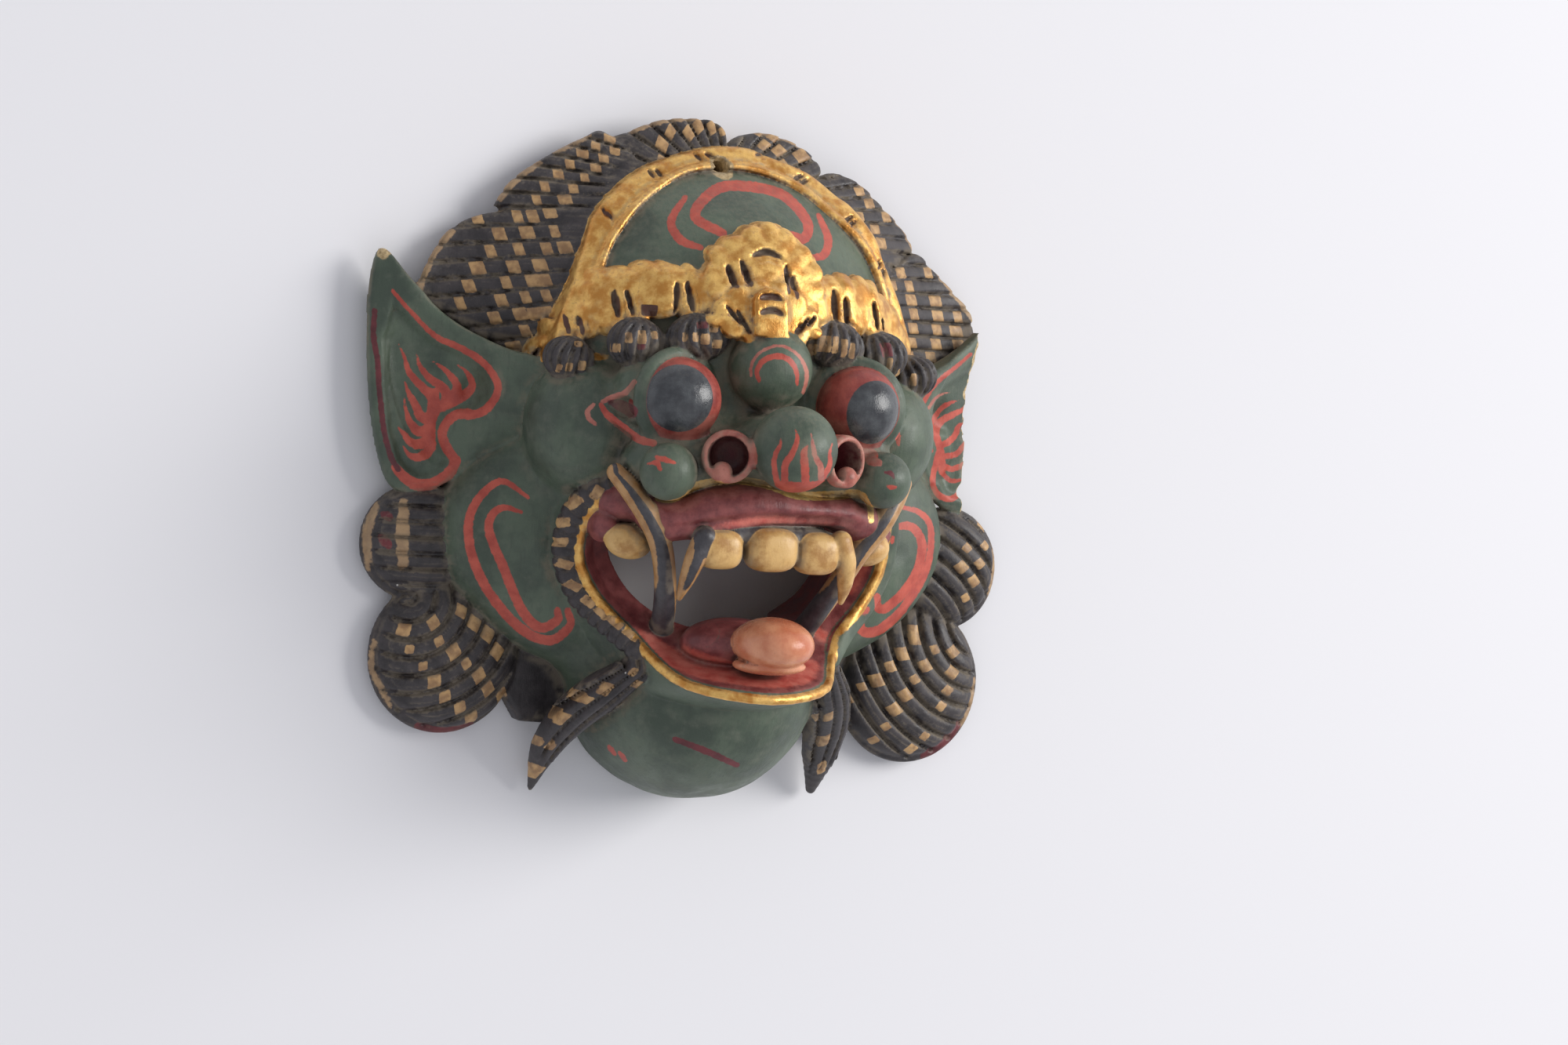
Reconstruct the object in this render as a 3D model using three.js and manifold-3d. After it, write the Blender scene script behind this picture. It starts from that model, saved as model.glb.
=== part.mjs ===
// Barong mask: one block of wood, carved in deep relief on the front, hollowed from behind,
// cut through at the mouth and bored once at the top for hanging.
// Millimetres. The mask lies on its flat back rim: X across the face, Y up the face (chin to hair),
// +Z out of the face. One solid, one node: "mask".
import * as THREE from "three";
import { mergeVertices } from "three/addons/utils/BufferGeometryUtils.js";
import Module from "manifold-3d";

const wasm = await Module();
wasm.setup();

// ---------------------------------------------------------------- driving dimensions
const V = (x, y, z) => new THREE.Vector3(x, y, z);
const PLATE = 7.5;              // thickness of the carved plates at the rim
const WALL = 8;                 // wall left by the hollow
const GROOVE = 1.6;             // half width of a comb groove in the hair
const BAND_LIFT = 3.2;          // gilt bands stand this far off the forehead
const LEAF_LIFT = 5.0;

// domes: centre, radii, shoulder power (2 = ellipsoid, higher = flatter top and steeper side)
const FOREHEAD = { c: V(0, 40, 0), r: V(61, 59, 60), power: 2 };
const JAW = { c: V(0, -10, 0), r: V(79, 46, 34), power: 3.3 };
const MIDFACE = { c: V(0, 14, 8), r: V(59, 42, 50), power: 2.3 };
const MUZZLE = { c: V(0, 8, 38), r: V(41, 26, 28.5), power: 2.4 };
const CHIN = { c: V(0, -47, 8), r: V(38, 41, 49), power: 2.1 };
const CHEEK = { c: V(44.5, 21.5, 34.5), r: V(17, 20, 20) };

// round carvings
const EYE = { c: V(26.9, 30.4, 62.5), r: 11.6, lid: 2.4 };
const THIRD_EYE = { c: V(0, 40.2, 61.5), r: 11.8 };
const NOSE = { c: V(0, 18.8, 82.6), r: 11.9 };
const NOSTRIL = { c: V(18.0, 15.8, 79), r: 7.4, bore: 5.6, deep: 12, out: 0.42 };
const CHEEK_BALL = { c: V(32.1, 10.7, 71), r: 8.0 };
const BROWS = [                                   // three comma curls over each eye
  { c: V(20.6, 47.8, 57), r: V(9.4, 6.4, 6.5), turn: -12 },
  { c: V(37.0, 45.0, 52.5), r: V(8.8, 6.8, 6.5), turn: 6 },
  { c: V(52.6, 39.4, 41.5), r: V(7.6, 6.2, 6.5), turn: 14 },
];

// mouth: rim of the lips, inner opening, upper lip, teeth, tusks, tongue (right half; x is mirrored)
const LIP_RIM = [[46.5, -9, 42], [44.5, -1, 47], [39, 3, 54], [24, 4, 60], [0, 5, 62]];
const LIP_RIM_LOW = [[45.8, -18, 41], [40, -28, 42], [31.5, -36.8, 46], [26, -44.5, 56], [21, -48.6, 66], [12, -50.4, 74], [0, -51.2, 77.4]];
const HOLE = [[35, -12, 34], [34, -6, 36], [27, -2.5, 44], [14, -1.5, 50], [0, -1.5, 53]];
const HOLE_LOW = [[34, -17, 34], [29.5, -25, 37], [22.5, -31, 42], [13, -34.5, 46], [6, -36, 49], [3, -36.3, 50], [0, -36.5, 51]];
const LIP_TOP = [[-33.3, 0.6], [-27.3, 2.8], [-20.6, 6.6], [-12.1, 8.8], [-0.8, 7.4], [10.5, 5.2], [18.3, 5.0], [24.3, 5.6], [28.9, 2.3], [29.9, -1.4]];
const LIP_BOTTOM = [[28.6, -4.9], [23.7, -4.4], [15.3, -3.2], [1.1, -3.7], [-5.9, -4.6], [-15.1, -7.0], [-22, -8.3], [-30, -8.6], [-33.5, -4.5]];
const LIP_FRONT = 73.5, LIP_BACK = 48, LIP_BOW = 0.0045;
const TEETH = [[-15.8, -10.4, 6.8, 5.6], [-0.8, -10.0, 7.3, 6.0], [12.6, -10.6, 6.4, 5.8]];
const TEETH_Z = 70;
const CANINE = [[20.5, -7, 71], [22.6, -13, 70.5], [23.8, -19, 68], [24.4, -24.5, 64.5]];
const MOLAR = { c: V(36.2, -10, 53), r: V(6.8, 5.0, 6.5) };
const TUSK = [[21.5, -35, 44], [23.5, -28, 51], [26.5, -19, 58], [30, -10, 62.5], [34.8, -2.5, 65], [39.4, 4.2, 63.2], [43.4, 9.4, 60]];
const TONGUE = { c: V(0.8, -36.5, 73), r: V(12, 8.2, 14.5) };
const FRINGE = [[35, 6.5, 52], [42.5, 4, 47], [47.6, -4, 40.5], [48.2, -15.5, 37], [43.6, -26.4, 37.5], [36, -34.6, 42], [29.6, -41.6, 49]];
const WHISKER = [[28.5, -46, 47], [34.5, -54, 36], [40, -63, 23], [43.4, -74, 12], [44.4, -86.2, 4.2]];

// rim outlines, mask seen from the front
const LOBES = [
  { x: -82.5, y: -15.5, rx: 17.4, ry: 17.0 },      // upper side lobes
  { x: 83.2, y: -18.5, rx: 17.4, ry: 18.8 },
  { x: -73.5, y: -47.8, rx: 22.2, ry: 22.6 },      // lower side lobes
  { x: 73.6, y: -53.6, rx: 23.0, ry: 24.3 },
];
const EAR_OUTLINE = [[-98.4, 67.6], [-101.2, 61], [-101.7, 49], [-100.9, 33.6], [-98.9, 18], [-96, 7], [-92.6, 0.6], [-87.5, -1.6],
  [-81, -0.5], [-74, 3], [-60, 4], [-52, 18], [-53, 36], [-57.6, 39.5], [-65.3, 41.3], [-74.2, 45.2], [-83.1, 51.2], [-91, 59.4]];
const EAR_BREAK_X = 85.6;                           // the right ear is snapped off along this line
const HAIR = [                                      // fan of five combed plates and their comb directions (degrees)
  { pts: [[-50, 40], [-87, 54], [-86.4, 60], [-84, 66], [-79, 73.8], [-69.5, 78.8], [-56, 80.6], [-36, 80]], comb: 8, grooves: 7, top: 8.5 },
  { pts: [[-40, 70], [-64, 80.2], [-65.6, 83], [-60.7, 90], [-49.5, 97.8], [-40.3, 102.8], [-33.2, 104.8], [-22, 92]], comb: 24, grooves: 7, top: 10 },
  { pts: [[-30, 84], [-36, 100], [-27.2, 105.7], [-17, 109.8], [-4.8, 110.8], [0.4, 109.3], [3, 103.8], [2, 88]], comb: 62, grooves: 7, top: 12 },
  { pts: [[0, 88], [4.4, 104], [11.3, 107.9], [18.3, 107.8], [28.3, 104], [33.4, 97], [27, 82]], comb: 118, grooves: 6, top: 11 },
  { pts: [[26, 80], [35.3, 97], [45.4, 96.2], [53.3, 90.2], [61.2, 83.2], [65, 76.2], [60, 62]], comb: 152, grooves: 6, top: 9.5 },
  { pts: [[46, 50], [64, 75], [72.9, 71.3], [80.8, 64.4], [86.8, 57.4], [84, 44], [56, 38]], comb: 170, grooves: 6, top: 8.5 },
];
// gilt arch band: outer line in the XY plane and width; it lies on the forehead dome
const ARCH = [[-52.5, 42], [-49, 56], [-45.4, 67.8], [-43.2, 78], [-35.9, 87.9], [-25.7, 96], [-15.6, 100.5], [-6.5, 102.3], [2.7, 103], [13.1, 101.5], [22.8, 97.2], [32.7, 90], [42.4, 80.1], [50.3, 68.3], [54, 58.3], [57, 46]];
const ARCH_WIDTH = 5.6, ARCH_BEAD = 2.4, ARCH_STEPS = 28;
// gilt leaf band over the brows, left to right along its scalloped top, then back along the bottom
const LEAF = [[-60.5, 38.5], [-57.2, 46.2], [-55.7, 50.7], [-53.8, 51.3], [-50.2, 56.7], [-50, 60.6], [-48.2, 63.8], [-43.6, 66.3], [-41.2, 65.8], [-36, 67.6], [-30.2, 68.9], [-26.5, 67.8],
  [-22.5, 68.3], [-20, 66.6], [-17.1, 69.8], [-16.1, 72.4], [-11.9, 75.7], [-9.4, 76.8], [-5.6, 79], [-1.6, 80.8], [3.4, 81.4], [7.2, 80.1], [12.1, 76], [14.2, 73.9], [16.2, 70.7], [17.5, 67],
  [22.3, 68.4], [27.4, 68], [32.2, 67.9], [37.3, 66.7], [42.1, 62.5], [48.1, 58.9], [52.4, 53.3], [55.5, 47.7], [57, 40],
  [44, 44], [34, 49], [20, 52], [10, 51], [0, 47], [-9, 48.1], [-14, 51], [-28, 52.7], [-40, 47.6], [-53, 43.3]];
const BOSS = { c: V(-1, 58, 40), r: V(10, 13, 27) };
const HANG_HOLE = { x: -3.6, y: 96.6, r: 1.9 };

// ---------------------------------------------------------------- helpers
const FINE = 0.62;                                    // facet density of the round carvings
const facets = (n) => Math.max(6, 2 * Math.round((n * FINE) / 2));
function solid(geometry) {
  geometry.deleteAttribute("normal");
  geometry.deleteAttribute("uv");
  const g = mergeVertices(geometry, 1e-4);
  const index = g.index.array, keep = [];
  for (let i = 0; i < index.length; i += 3) {
    const [a, b, c] = [index[i], index[i + 1], index[i + 2]];
    if (a !== b && b !== c && a !== c) keep.push(a, b, c);
  }
  const make = (tris) => new wasm.Manifold(new wasm.Mesh({ numProp: 3, vertProperties: new Float32Array(g.attributes.position.array), triVerts: new Uint32Array(tris) }));
  let m = make(keep);
  if (m.volume() < 0) {
    for (let i = 0; i < keep.length; i += 3) [keep[i + 1], keep[i + 2]] = [keep[i + 2], keep[i + 1]];
    m = make(keep);
  }
  return m;
}
function eachVertex(geometry, fn) {
  const p = geometry.attributes.position, v = V(0, 0, 0);
  for (let i = 0; i < p.count; i++) { v.fromBufferAttribute(p, i); fn(v, i); p.setXYZ(i, v.x, v.y, v.z); }
  return geometry;
}
// ellipsoid whose pole points along +Z; power over 2 gives a flatter crown
function dome({ c, r, power = 2 }, grow = 0, around = 32, down = 16) {
  const g = new THREE.SphereGeometry(1, facets(around), facets(down));
  g.rotateX(Math.PI / 2);
  eachVertex(g, (v) => {
    const q = Math.min(1, Math.hypot(v.x, v.y));
    if (power !== 2 && q > 1e-6) {
      const polar = Math.asin(q), s = Math.sin(polar), k = Math.abs(Math.cos(polar));
      const n = Math.pow(Math.pow(s, power) + Math.pow(k, power), -1 / power);
      v.set((v.x / q) * s * n, (v.y / q) * s * n, Math.sign(v.z) * k * n);
    }
    v.set(c.x + v.x * (r.x + grow), c.y + v.y * (r.y + grow), c.z + v.z * (r.z + grow));
  });
  return solid(g);
}
function ball(c, r, around = 18, down = 12) {
  return solid(new THREE.SphereGeometry(r, facets(around), facets(down)).rotateX(Math.PI / 2).translate(c.x, c.y, c.z));
}
function ellipsoid(c, r, turn = 0, around = 16, down = 10) {
  const g = new THREE.SphereGeometry(1, facets(around), facets(down)).rotateY(Math.PI / 2).scale(r.x, r.y, r.z);
  return solid(g.rotateZ(THREE.MathUtils.degToRad(turn)).translate(c.x, c.y, c.z));
}
// plate of a closed outline between two heights
function plate(points, z0, z1, smooth = 0) {
  let pts = points.map(([x, y]) => new THREE.Vector2(x, y));
  if (smooth) pts = new THREE.CatmullRomCurve3(pts.map((p) => V(p.x, p.y, 0)), true, "centripetal").getPoints(smooth).slice(0, -1).map((p) => new THREE.Vector2(p.x, p.y));
  return solid(new THREE.ExtrudeGeometry(new THREE.Shape(pts), { depth: z1 - z0, bevelEnabled: false, steps: 1 }).translate(0, 0, z0));
}
// round bar of changing radius along a curve
function bar(points, radii, sides = 10, steps = 12, flat = 1) {
  const curve = new THREE.CatmullRomCurve3(points.map(([x, y, z]) => V(x, y, z)), false, "centripetal");
  const frames = curve.computeFrenetFrames(steps, false);
  const g = new THREE.CylinderGeometry(1, 1, 1, sides, steps);
  const radius = (t) => { const f = t * (radii.length - 1), i = Math.min(radii.length - 2, Math.floor(f)); return THREE.MathUtils.lerp(radii[i], radii[i + 1], f - i); };
  eachVertex(g, (v) => {
    const t = THREE.MathUtils.clamp(v.y + 0.5, 0, 1), i = Math.round(t * steps), p = curve.getPointAt(i / steps), r = radius(i / steps);
    const a = v.x * r, b = v.z * r * flat;
    v.copy(p).addScaledVector(frames.normals[i], a).addScaledVector(frames.binormals[i], -b);
  });
  return solid(g);
}
const mirrored = (right, low) => {                    // right half over the top and along the bottom -> closed loop
  const top = right.concat(right.slice(0, -1).reverse().map(([x, y, z]) => [-x, y, z]));
  const bottom = low.map(([x, y, z]) => [-x, y, z]).concat(low.slice(0, -1).reverse());
  return new THREE.CatmullRomCurve3(top.concat(bottom).map(([x, y, z]) => V(x, y, z)), true, "centripetal");
};
// skin through a stack of closed loops, highest first
function loft(loops) {
  const n = loops[0].length, rows = loops.length - 1;
  const g = new THREE.CylinderGeometry(1, 1, 1, n, rows);
  const middle = (loop) => loop.reduce((s, p) => s.add(p), V(0, 0, 0)).multiplyScalar(1 / n);
  eachVertex(g, (v) => {
    const row = Math.round((0.5 - v.y) * rows), q = Math.hypot(v.x, v.z);
    if (q < 0.5) { v.copy(middle(loops[row])); return; }
    const k = Math.round((Math.atan2(v.x, v.z) / (2 * Math.PI)) * n + n) % n;
    v.copy(loops[row][k]);
  });
  return solid(g);
}
const flip = (m) => m.mirror([1, 0, 0]);
const both = (m) => m.add(flip(m));
const union = (list) => list.reduce((a, b) => a.add(b));

// ---------------------------------------------------------------- rim plates
const parts = [];

for (const { x, y, rx, ry } of LOBES) {               // leaf-like lobes beside the jaw, domed towards the face
  const s = Math.sign(x);
  const rim = new THREE.CylinderGeometry(1, 1, PLATE, 24, 1).rotateX(Math.PI / 2).scale(rx, ry, 1).translate(x, y, PLATE / 2);
  const swell = new THREE.SphereGeometry(1, 16, 8).rotateX(Math.PI / 2).scale(rx * 0.96, ry * 0.96, 8).translate(x - s * 1, y + 1, PLATE - 1.5);
  let lobe = solid(rim).add(solid(swell));
  const n = rx > 20 ? 6 : 5;                            // curved comb grooves
  for (let i = 0; i < n; i++) {
    const u = (i + 0.5) / n * 2 - 1;
    const path = rx > 20
      ? [[x - s * rx * (0.3 + 0.5 * (i / n)), y + ry * (1 - 0.5 * (i / n)), 13.5], [x + s * rx * (0.32 - 0.75 * (i / n)), y + ry * (0.42 - 0.72 * (i / n)), 14.6], [x + s * rx * (0.95 - 0.7 * (i / n)), y + ry * (0.05 - 0.95 * (i / n)), 9]]
      : [[x - s * rx, y + u * ry * 0.72, 13], [x + s * 2, y + u * ry * 0.86, 14.6], [x + s * rx, y + u * ry * 0.72, 9.6]];
    lobe = lobe.subtract(bar(path, [GROOVE, GROOVE, GROOVE], 4, 3));
  }
  parts.push(lobe);
}

for (const { pts, comb, grooves, top } of HAIR) {      // combed hair plates above the face
  let lock = plate(pts, 0, top, 24);
  const box = lock.boundingBox(), cx = (box.min[0] + box.max[0]) / 2, cy = (box.min[1] + box.max[1]) / 2;
  const a = THREE.MathUtils.degToRad(comb), along = V(Math.cos(a), Math.sin(a), 0), across = V(-Math.sin(a), Math.cos(a), 0);
  for (let i = 0; i < grooves; i++) {
    const o = V(cx, cy, top + 0.3).addScaledVector(across, (i - (grooves - 1) / 2) * 4.3);
    const g = new THREE.CylinderGeometry(GROOVE, GROOVE, 90, 4, 1).rotateZ(a - Math.PI / 2).translate(o.x, o.y, o.z);
    lock = lock.subtract(solid(g));
  }
  parts.push(lock);
}

// ears: pointed leaves rising towards the temple, scooped in the middle
// plate behind jaw, whiskers and chin that ties the lobes together
parts.push(plate([[-50, -66.5], [-42, -67], [-36, -68.5], [0, -75], [36, -69], [43, -69.5], [52, -71.5], [64, -50], [64, -20], [-64, -20], [-64, -44]], 0, PLATE));

const earRise = (x, y) => 0.5 * (101 - Math.abs(x)) * THREE.MathUtils.smoothstep(y, -8, 34);
const earShape = new THREE.Shape(new THREE.CatmullRomCurve3(EAR_OUTLINE.map(([x, y]) => V(x, y, 0)), true, "centripetal").getPoints(44).slice(0, -1).map((p) => new THREE.Vector2(p.x, p.y)));
const earBlade = solid(eachVertex(new THREE.ExtrudeGeometry(earShape, { depth: PLATE, bevelEnabled: false, steps: 1 }), (v) => {
  v.z += earRise(v.x, v.y) * (v.z > 1 ? 1 : 0.55) + (v.z > 1 ? 2 : 0);
}));
const earScoop = solid(eachVertex(new THREE.SphereGeometry(1, 20, 12).scale(13.5, 25, 6), (v) => {
  const x = v.x - 0.16 * v.y, y = v.y; v.x = x - 82; v.y = y + 31; v.z += earRise(v.x, v.y) + PLATE + 4.2;
}));
const earConcha = ellipsoid(V(-66, 27, 32), V(6.5, 9, 7), 20, 14, 8);
const earLeft = earBlade.subtract(earScoop).subtract(earConcha);
const breakTeeth = [[EAR_BREAK_X, 62], [86.4, 48], [85.4, 38], [87, 30], [86, 16], [87.2, 8], [85.4, 0], [70, -6], [40, -6], [40, 80], [84, 80]];
const earRight = flip(earLeft).intersect(plate(breakTeeth, -1, 60));
parts.push(earLeft, earRight);

// ---------------------------------------------------------------- skull, jaw and chin
const faceFloor = plate([[-100, -95], [100, -95], [100, 115], [-100, 115]], 0, 120);
const brow = plate(ARCH.concat([[61, 30], [61, -20], [-61, -20], [-61, 32]]), 0, 100);      // the forehead stops at the gilt arch
const skull = union([dome(FOREHEAD, 0, 40, 20).intersect(brow), dome(JAW, 0, 44, 18), dome(MIDFACE, 0, 36, 16), dome(MUZZLE, 0, 28, 14), dome(CHIN, 0, 32, 16)]).intersect(faceFloor);
parts.push(skull, both(ellipsoid(CHEEK.c, CHEEK.r, 0, 22, 14)));

// gilt arch band and leaf band: outlines cut out of slightly larger domes
const along = (list, n) => new THREE.CatmullRomCurve3(list.map(([x, y]) => V(x, y, 0)), false, "centripetal").getPoints(n);
const archBand = (lift, width, inset) => {
  const line = along(ARCH, ARCH_STEPS), n = ARCH_STEPS;
  const side = (d) => line.map((p, i) => { const q = line[Math.min(i + 1, n)].clone().sub(line[Math.max(i - 1, 0)]).normalize(); return [p.x + q.y * d, p.y - q.x * d]; });
  return plate(side(inset).concat(side(inset + width).reverse()), 0, 70).intersect(dome(FOREHEAD, lift, 36, 20).add(plate(side(inset).concat(side(inset + width).reverse()), 0, 15 + lift / 3)));
};
parts.push(archBand(BAND_LIFT, ARCH_WIDTH, 0), archBand(BAND_LIFT + 1.8, ARCH_BEAD, ARCH_WIDTH));
parts.push(plate(LEAF, 10, 80).intersect(dome(FOREHEAD, LEAF_LIFT, 36, 20)));
parts.push(ellipsoid(BOSS.c, BOSS.r, 0, 14, 10));

// ---------------------------------------------------------------- eyes, nose, brows
const lid = new THREE.TorusGeometry(EYE.r + 0.6, EYE.lid, 6, 16).rotateY(-0.32).translate(EYE.c.x, EYE.c.y, EYE.c.z - 2.5);
const lidSolid = solid(lid);
const eyeSeat = ellipsoid(V(EYE.c.x + 1, EYE.c.y, EYE.c.z - 10), V(15, 14, 11), 0, 18, 10);
parts.push(both(union([eyeSeat, ball(EYE.c, EYE.r, 20, 14), lidSolid])));
parts.push(ball(THIRD_EYE.c, THIRD_EYE.r, 20, 14), ellipsoid(V(0, 34, 50), V(13, 16, 12), 0, 16, 8));
parts.push(ball(NOSE.c, NOSE.r, 22, 14), ellipsoid(V(0, 18, 66), V(13, 9.5, 13), 0, 16, 8));
for (const { c, r, turn } of BROWS) parts.push(both(ellipsoid(c, r, turn, 16, 10)));
const neck = new THREE.CylinderGeometry(NOSTRIL.r, NOSTRIL.r - 0.6, 26, 16, 1).translate(0, -13, 0).rotateX(Math.PI / 2).rotateY(NOSTRIL.out).translate(NOSTRIL.c.x, NOSTRIL.c.y, NOSTRIL.c.z);
parts.push(both(solid(neck)), both(ball(CHEEK_BALL.c, CHEEK_BALL.r, 16, 10)), both(ellipsoid(V(24, 12.5, 59), V(17, 9.5, 12), 0, 14, 8)));

// ---------------------------------------------------------------- jaw rim, chin, whiskers
const N = 36;
const rim = mirrored(LIP_RIM, LIP_RIM_LOW), hole = mirrored(HOLE, HOLE_LOW);
const loopOf = (curve, fn) => Array.from({ length: N }, (_, i) => fn(curve.getPoint(i / N), i));
const centre = V(0, -20, 0);
const spread = (p, d) => { const q = V(p.x - centre.x, (p.y - centre.y) * 1.15, 0).normalize(); return V(p.x + q.x * d, p.y + q.y * d, p.z); };
const jawBlock = loft([
  loopOf(rim, (p) => p.clone()),
  loopOf(rim, (p) => spread(p, 1.6).setZ(p.z - 3)),
  loopOf(rim, (p) => spread(p, 4.2).setZ(p.z * 0.82)),
  loopOf(rim, (p) => spread(p, 7.5).setZ(p.z * 0.6)),
  loopOf(rim, (p) => spread(p, 6).setZ(4)),
]);
parts.push(jawBlock);
parts.push(both(bar(FRINGE, [2.6, 4.2, 4.6, 4.6, 4.4, 3.8, 3], 8, 12)));
parts.push(both(bar(WHISKER, [4.2, 6, 6, 4.4, 0.9], 10, 10, 0.85)));

// ---------------------------------------------------------------- join, then hollow and cut
let mask = union(parts).intersect(plate([[-110, -100], [110, -100], [110, 120], [-110, 120]], 0, 120));

const hollow = union([
  dome({ c: V(0, 38, -4), r: V(FOREHEAD.r.x - 13, FOREHEAD.r.y - 15, FOREHEAD.r.z - WALL - 2), power: 2 }, 0, 30, 14),
  dome({ c: V(0, -8, -6), r: V(62, 34, 30), power: 3 }, 0, 30, 12),
  dome({ c: V(0, 10, -4), r: V(49, 34, 52), power: 2.2 }, 0, 28, 14),
  dome({ c: V(0, 8, 30), r: V(27, 17, 29), power: 2.2 }, 0, 20, 10),
  dome({ c: V(0, -42, -6), r: V(27, 32, 42), power: 2.2 }, 0, 24, 12),
]).intersect(plate([[-90, -90], [90, -90], [90, 100], [-90, 100]], -20, 90));
mask = mask.subtract(hollow);

// mouth: funnel from the lip rim to the opening, then straight on into the hollow
const RIM_WIDTH = 2.2;
const mouth = loft([
  loopOf(rim, (p) => spread(p, -RIM_WIDTH).setZ(p.z + 22)),
  loopOf(rim, (p) => spread(p, -RIM_WIDTH)),
  loopOf(rim, (p, i) => { const h = hole.getPoint(i / N); return V(THREE.MathUtils.lerp(p.x, h.x, 0.45), THREE.MathUtils.lerp(p.y, h.y, 0.3), THREE.MathUtils.lerp(p.z, h.z, 0.62)); }),
  loopOf(hole, (p) => p.clone()),
  loopOf(hole, (p) => V(p.x * 1.05, p.y * 1.02, -2)),
]);
mask = mask.subtract(mouth);

// bores of the nostrils
const bore = new THREE.CylinderGeometry(NOSTRIL.bore, NOSTRIL.bore - 0.8, NOSTRIL.deep + 4, 16, 1).translate(0, -NOSTRIL.deep / 2 + 2, 0).rotateX(Math.PI / 2).rotateY(NOSTRIL.out).translate(NOSTRIL.c.x, NOSTRIL.c.y, NOSTRIL.c.z);
mask = mask.subtract(both(solid(bore)));

// ---------------------------------------------------------------- upper lip, teeth, tusks, tongue (bridging the mouth)
const lipShape = new THREE.Shape(new THREE.CatmullRomCurve3(LIP_TOP.concat(LIP_BOTTOM).map(([x, y]) => V(x, y, 0)), true, "centripetal").getPoints(46).slice(0, -1).map((p) => new THREE.Vector2(p.x, p.y)));
const lip = solid(eachVertex(new THREE.ExtrudeGeometry(lipShape, { depth: LIP_FRONT - LIP_BACK, steps: 2, bevelEnabled: true, bevelThickness: 1.6, bevelSize: 1.2, bevelOffset: -1.2, bevelSegments: 1 }), (v) => {
  if (v.z > 1) v.z -= LIP_BOW * v.x * v.x * (v.z / (LIP_FRONT - LIP_BACK)) + (v.y < -2 ? 1.5 : 0) * (v.z / (LIP_FRONT - LIP_BACK));
  v.z += LIP_BACK;
}));
const mouthPieces = [lip, ellipsoid(V(0, 3, 55), V(30, 8, 12), 0, 18, 10)];
for (const [x, y, w, h] of TEETH) mouthPieces.push(ellipsoid(V(x, y, TEETH_Z - 0.004 * x * x), V(w, h, 5), 0, 12, 8));
mouthPieces.push(ellipsoid(V(-1, -6.5, 64), V(24, 4.6, 8), -2, 14, 8));                               // gum behind the teeth
mouthPieces.push(both(bar(CANINE, [3, 2.8, 2, 0.8], 8, 6)), both(ellipsoid(MOLAR.c, MOLAR.r, 10, 12, 8)), both(ellipsoid(V(41.5, -6, 46), V(4, 5, 8), 0, 10, 6)));
mouthPieces.push(both(bar(TUSK, [3.4, 3.2, 3.1, 3.1, 3.1, 2.9, 2.1], 8, 14)));
mouthPieces.push(ellipsoid(TONGUE.c, TONGUE.r, 0, 18, 12), ellipsoid(V(-3, -38.5, 64), V(14, 7, 14), 0, 14, 8));
mask = mask.add(union(mouthPieces));

// the bored hanging hole, through the band and the plate behind it
const nail = new THREE.CylinderGeometry(HANG_HOLE.r, HANG_HOLE.r, 90, 12, 1).rotateX(Math.PI / 2 - 0.25).translate(HANG_HOLE.x, HANG_HOLE.y, 20);
mask = mask.subtract(solid(nail));

// ---------------------------------------------------------------- one body, centred over its bounding box
// groove offcuts fall away; the carving is the one large body
const largest = (m) => m.decompose().sort((a, b) => b.volume() - a.volume())[0];
mask = largest(largest(mask).asOriginal().simplify(0.34));
const bb = mask.boundingBox();
mask = mask.translate([-(bb.min[0] + bb.max[0]) / 2, -(bb.min[1] + bb.max[1]) / 2, -bb.min[2]]);

// weld vertices closer than a micron, and drop what that pinches off
const skin = (m) => {
  const { vertProperties, triVerts } = m.getMesh();
  const g = new THREE.BufferGeometry();
  g.setAttribute("position", new THREE.BufferAttribute(new Float32Array(vertProperties), 3));
  g.setIndex(new THREE.BufferAttribute(new Uint32Array(triVerts), 1));
  return mergeVertices(g, 1e-3);
};
for (let pass = 0; pass < 3; pass++) mask = largest(solid(skin(mask)));
const geometry = skin(mask);
geometry.computeVertexNormals();

const wood = new THREE.MeshStandardMaterial({ color: 0x2f4436, roughness: 0.7, metalness: 0 });
const carving = new THREE.Mesh(geometry, wood);
carving.name = "mask";

const barong = new THREE.Group();
barong.add(carving);
export default barong;
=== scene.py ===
# Barong mask, visual model. Millimetres are used while carving; the finished meshes are in metres.
# The carving is one signed distance field: plates and domes first, then round forms, then cuts.
import bpy, math
import numpy as np
import openvdb
from mathutils import Matrix, Vector


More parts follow.
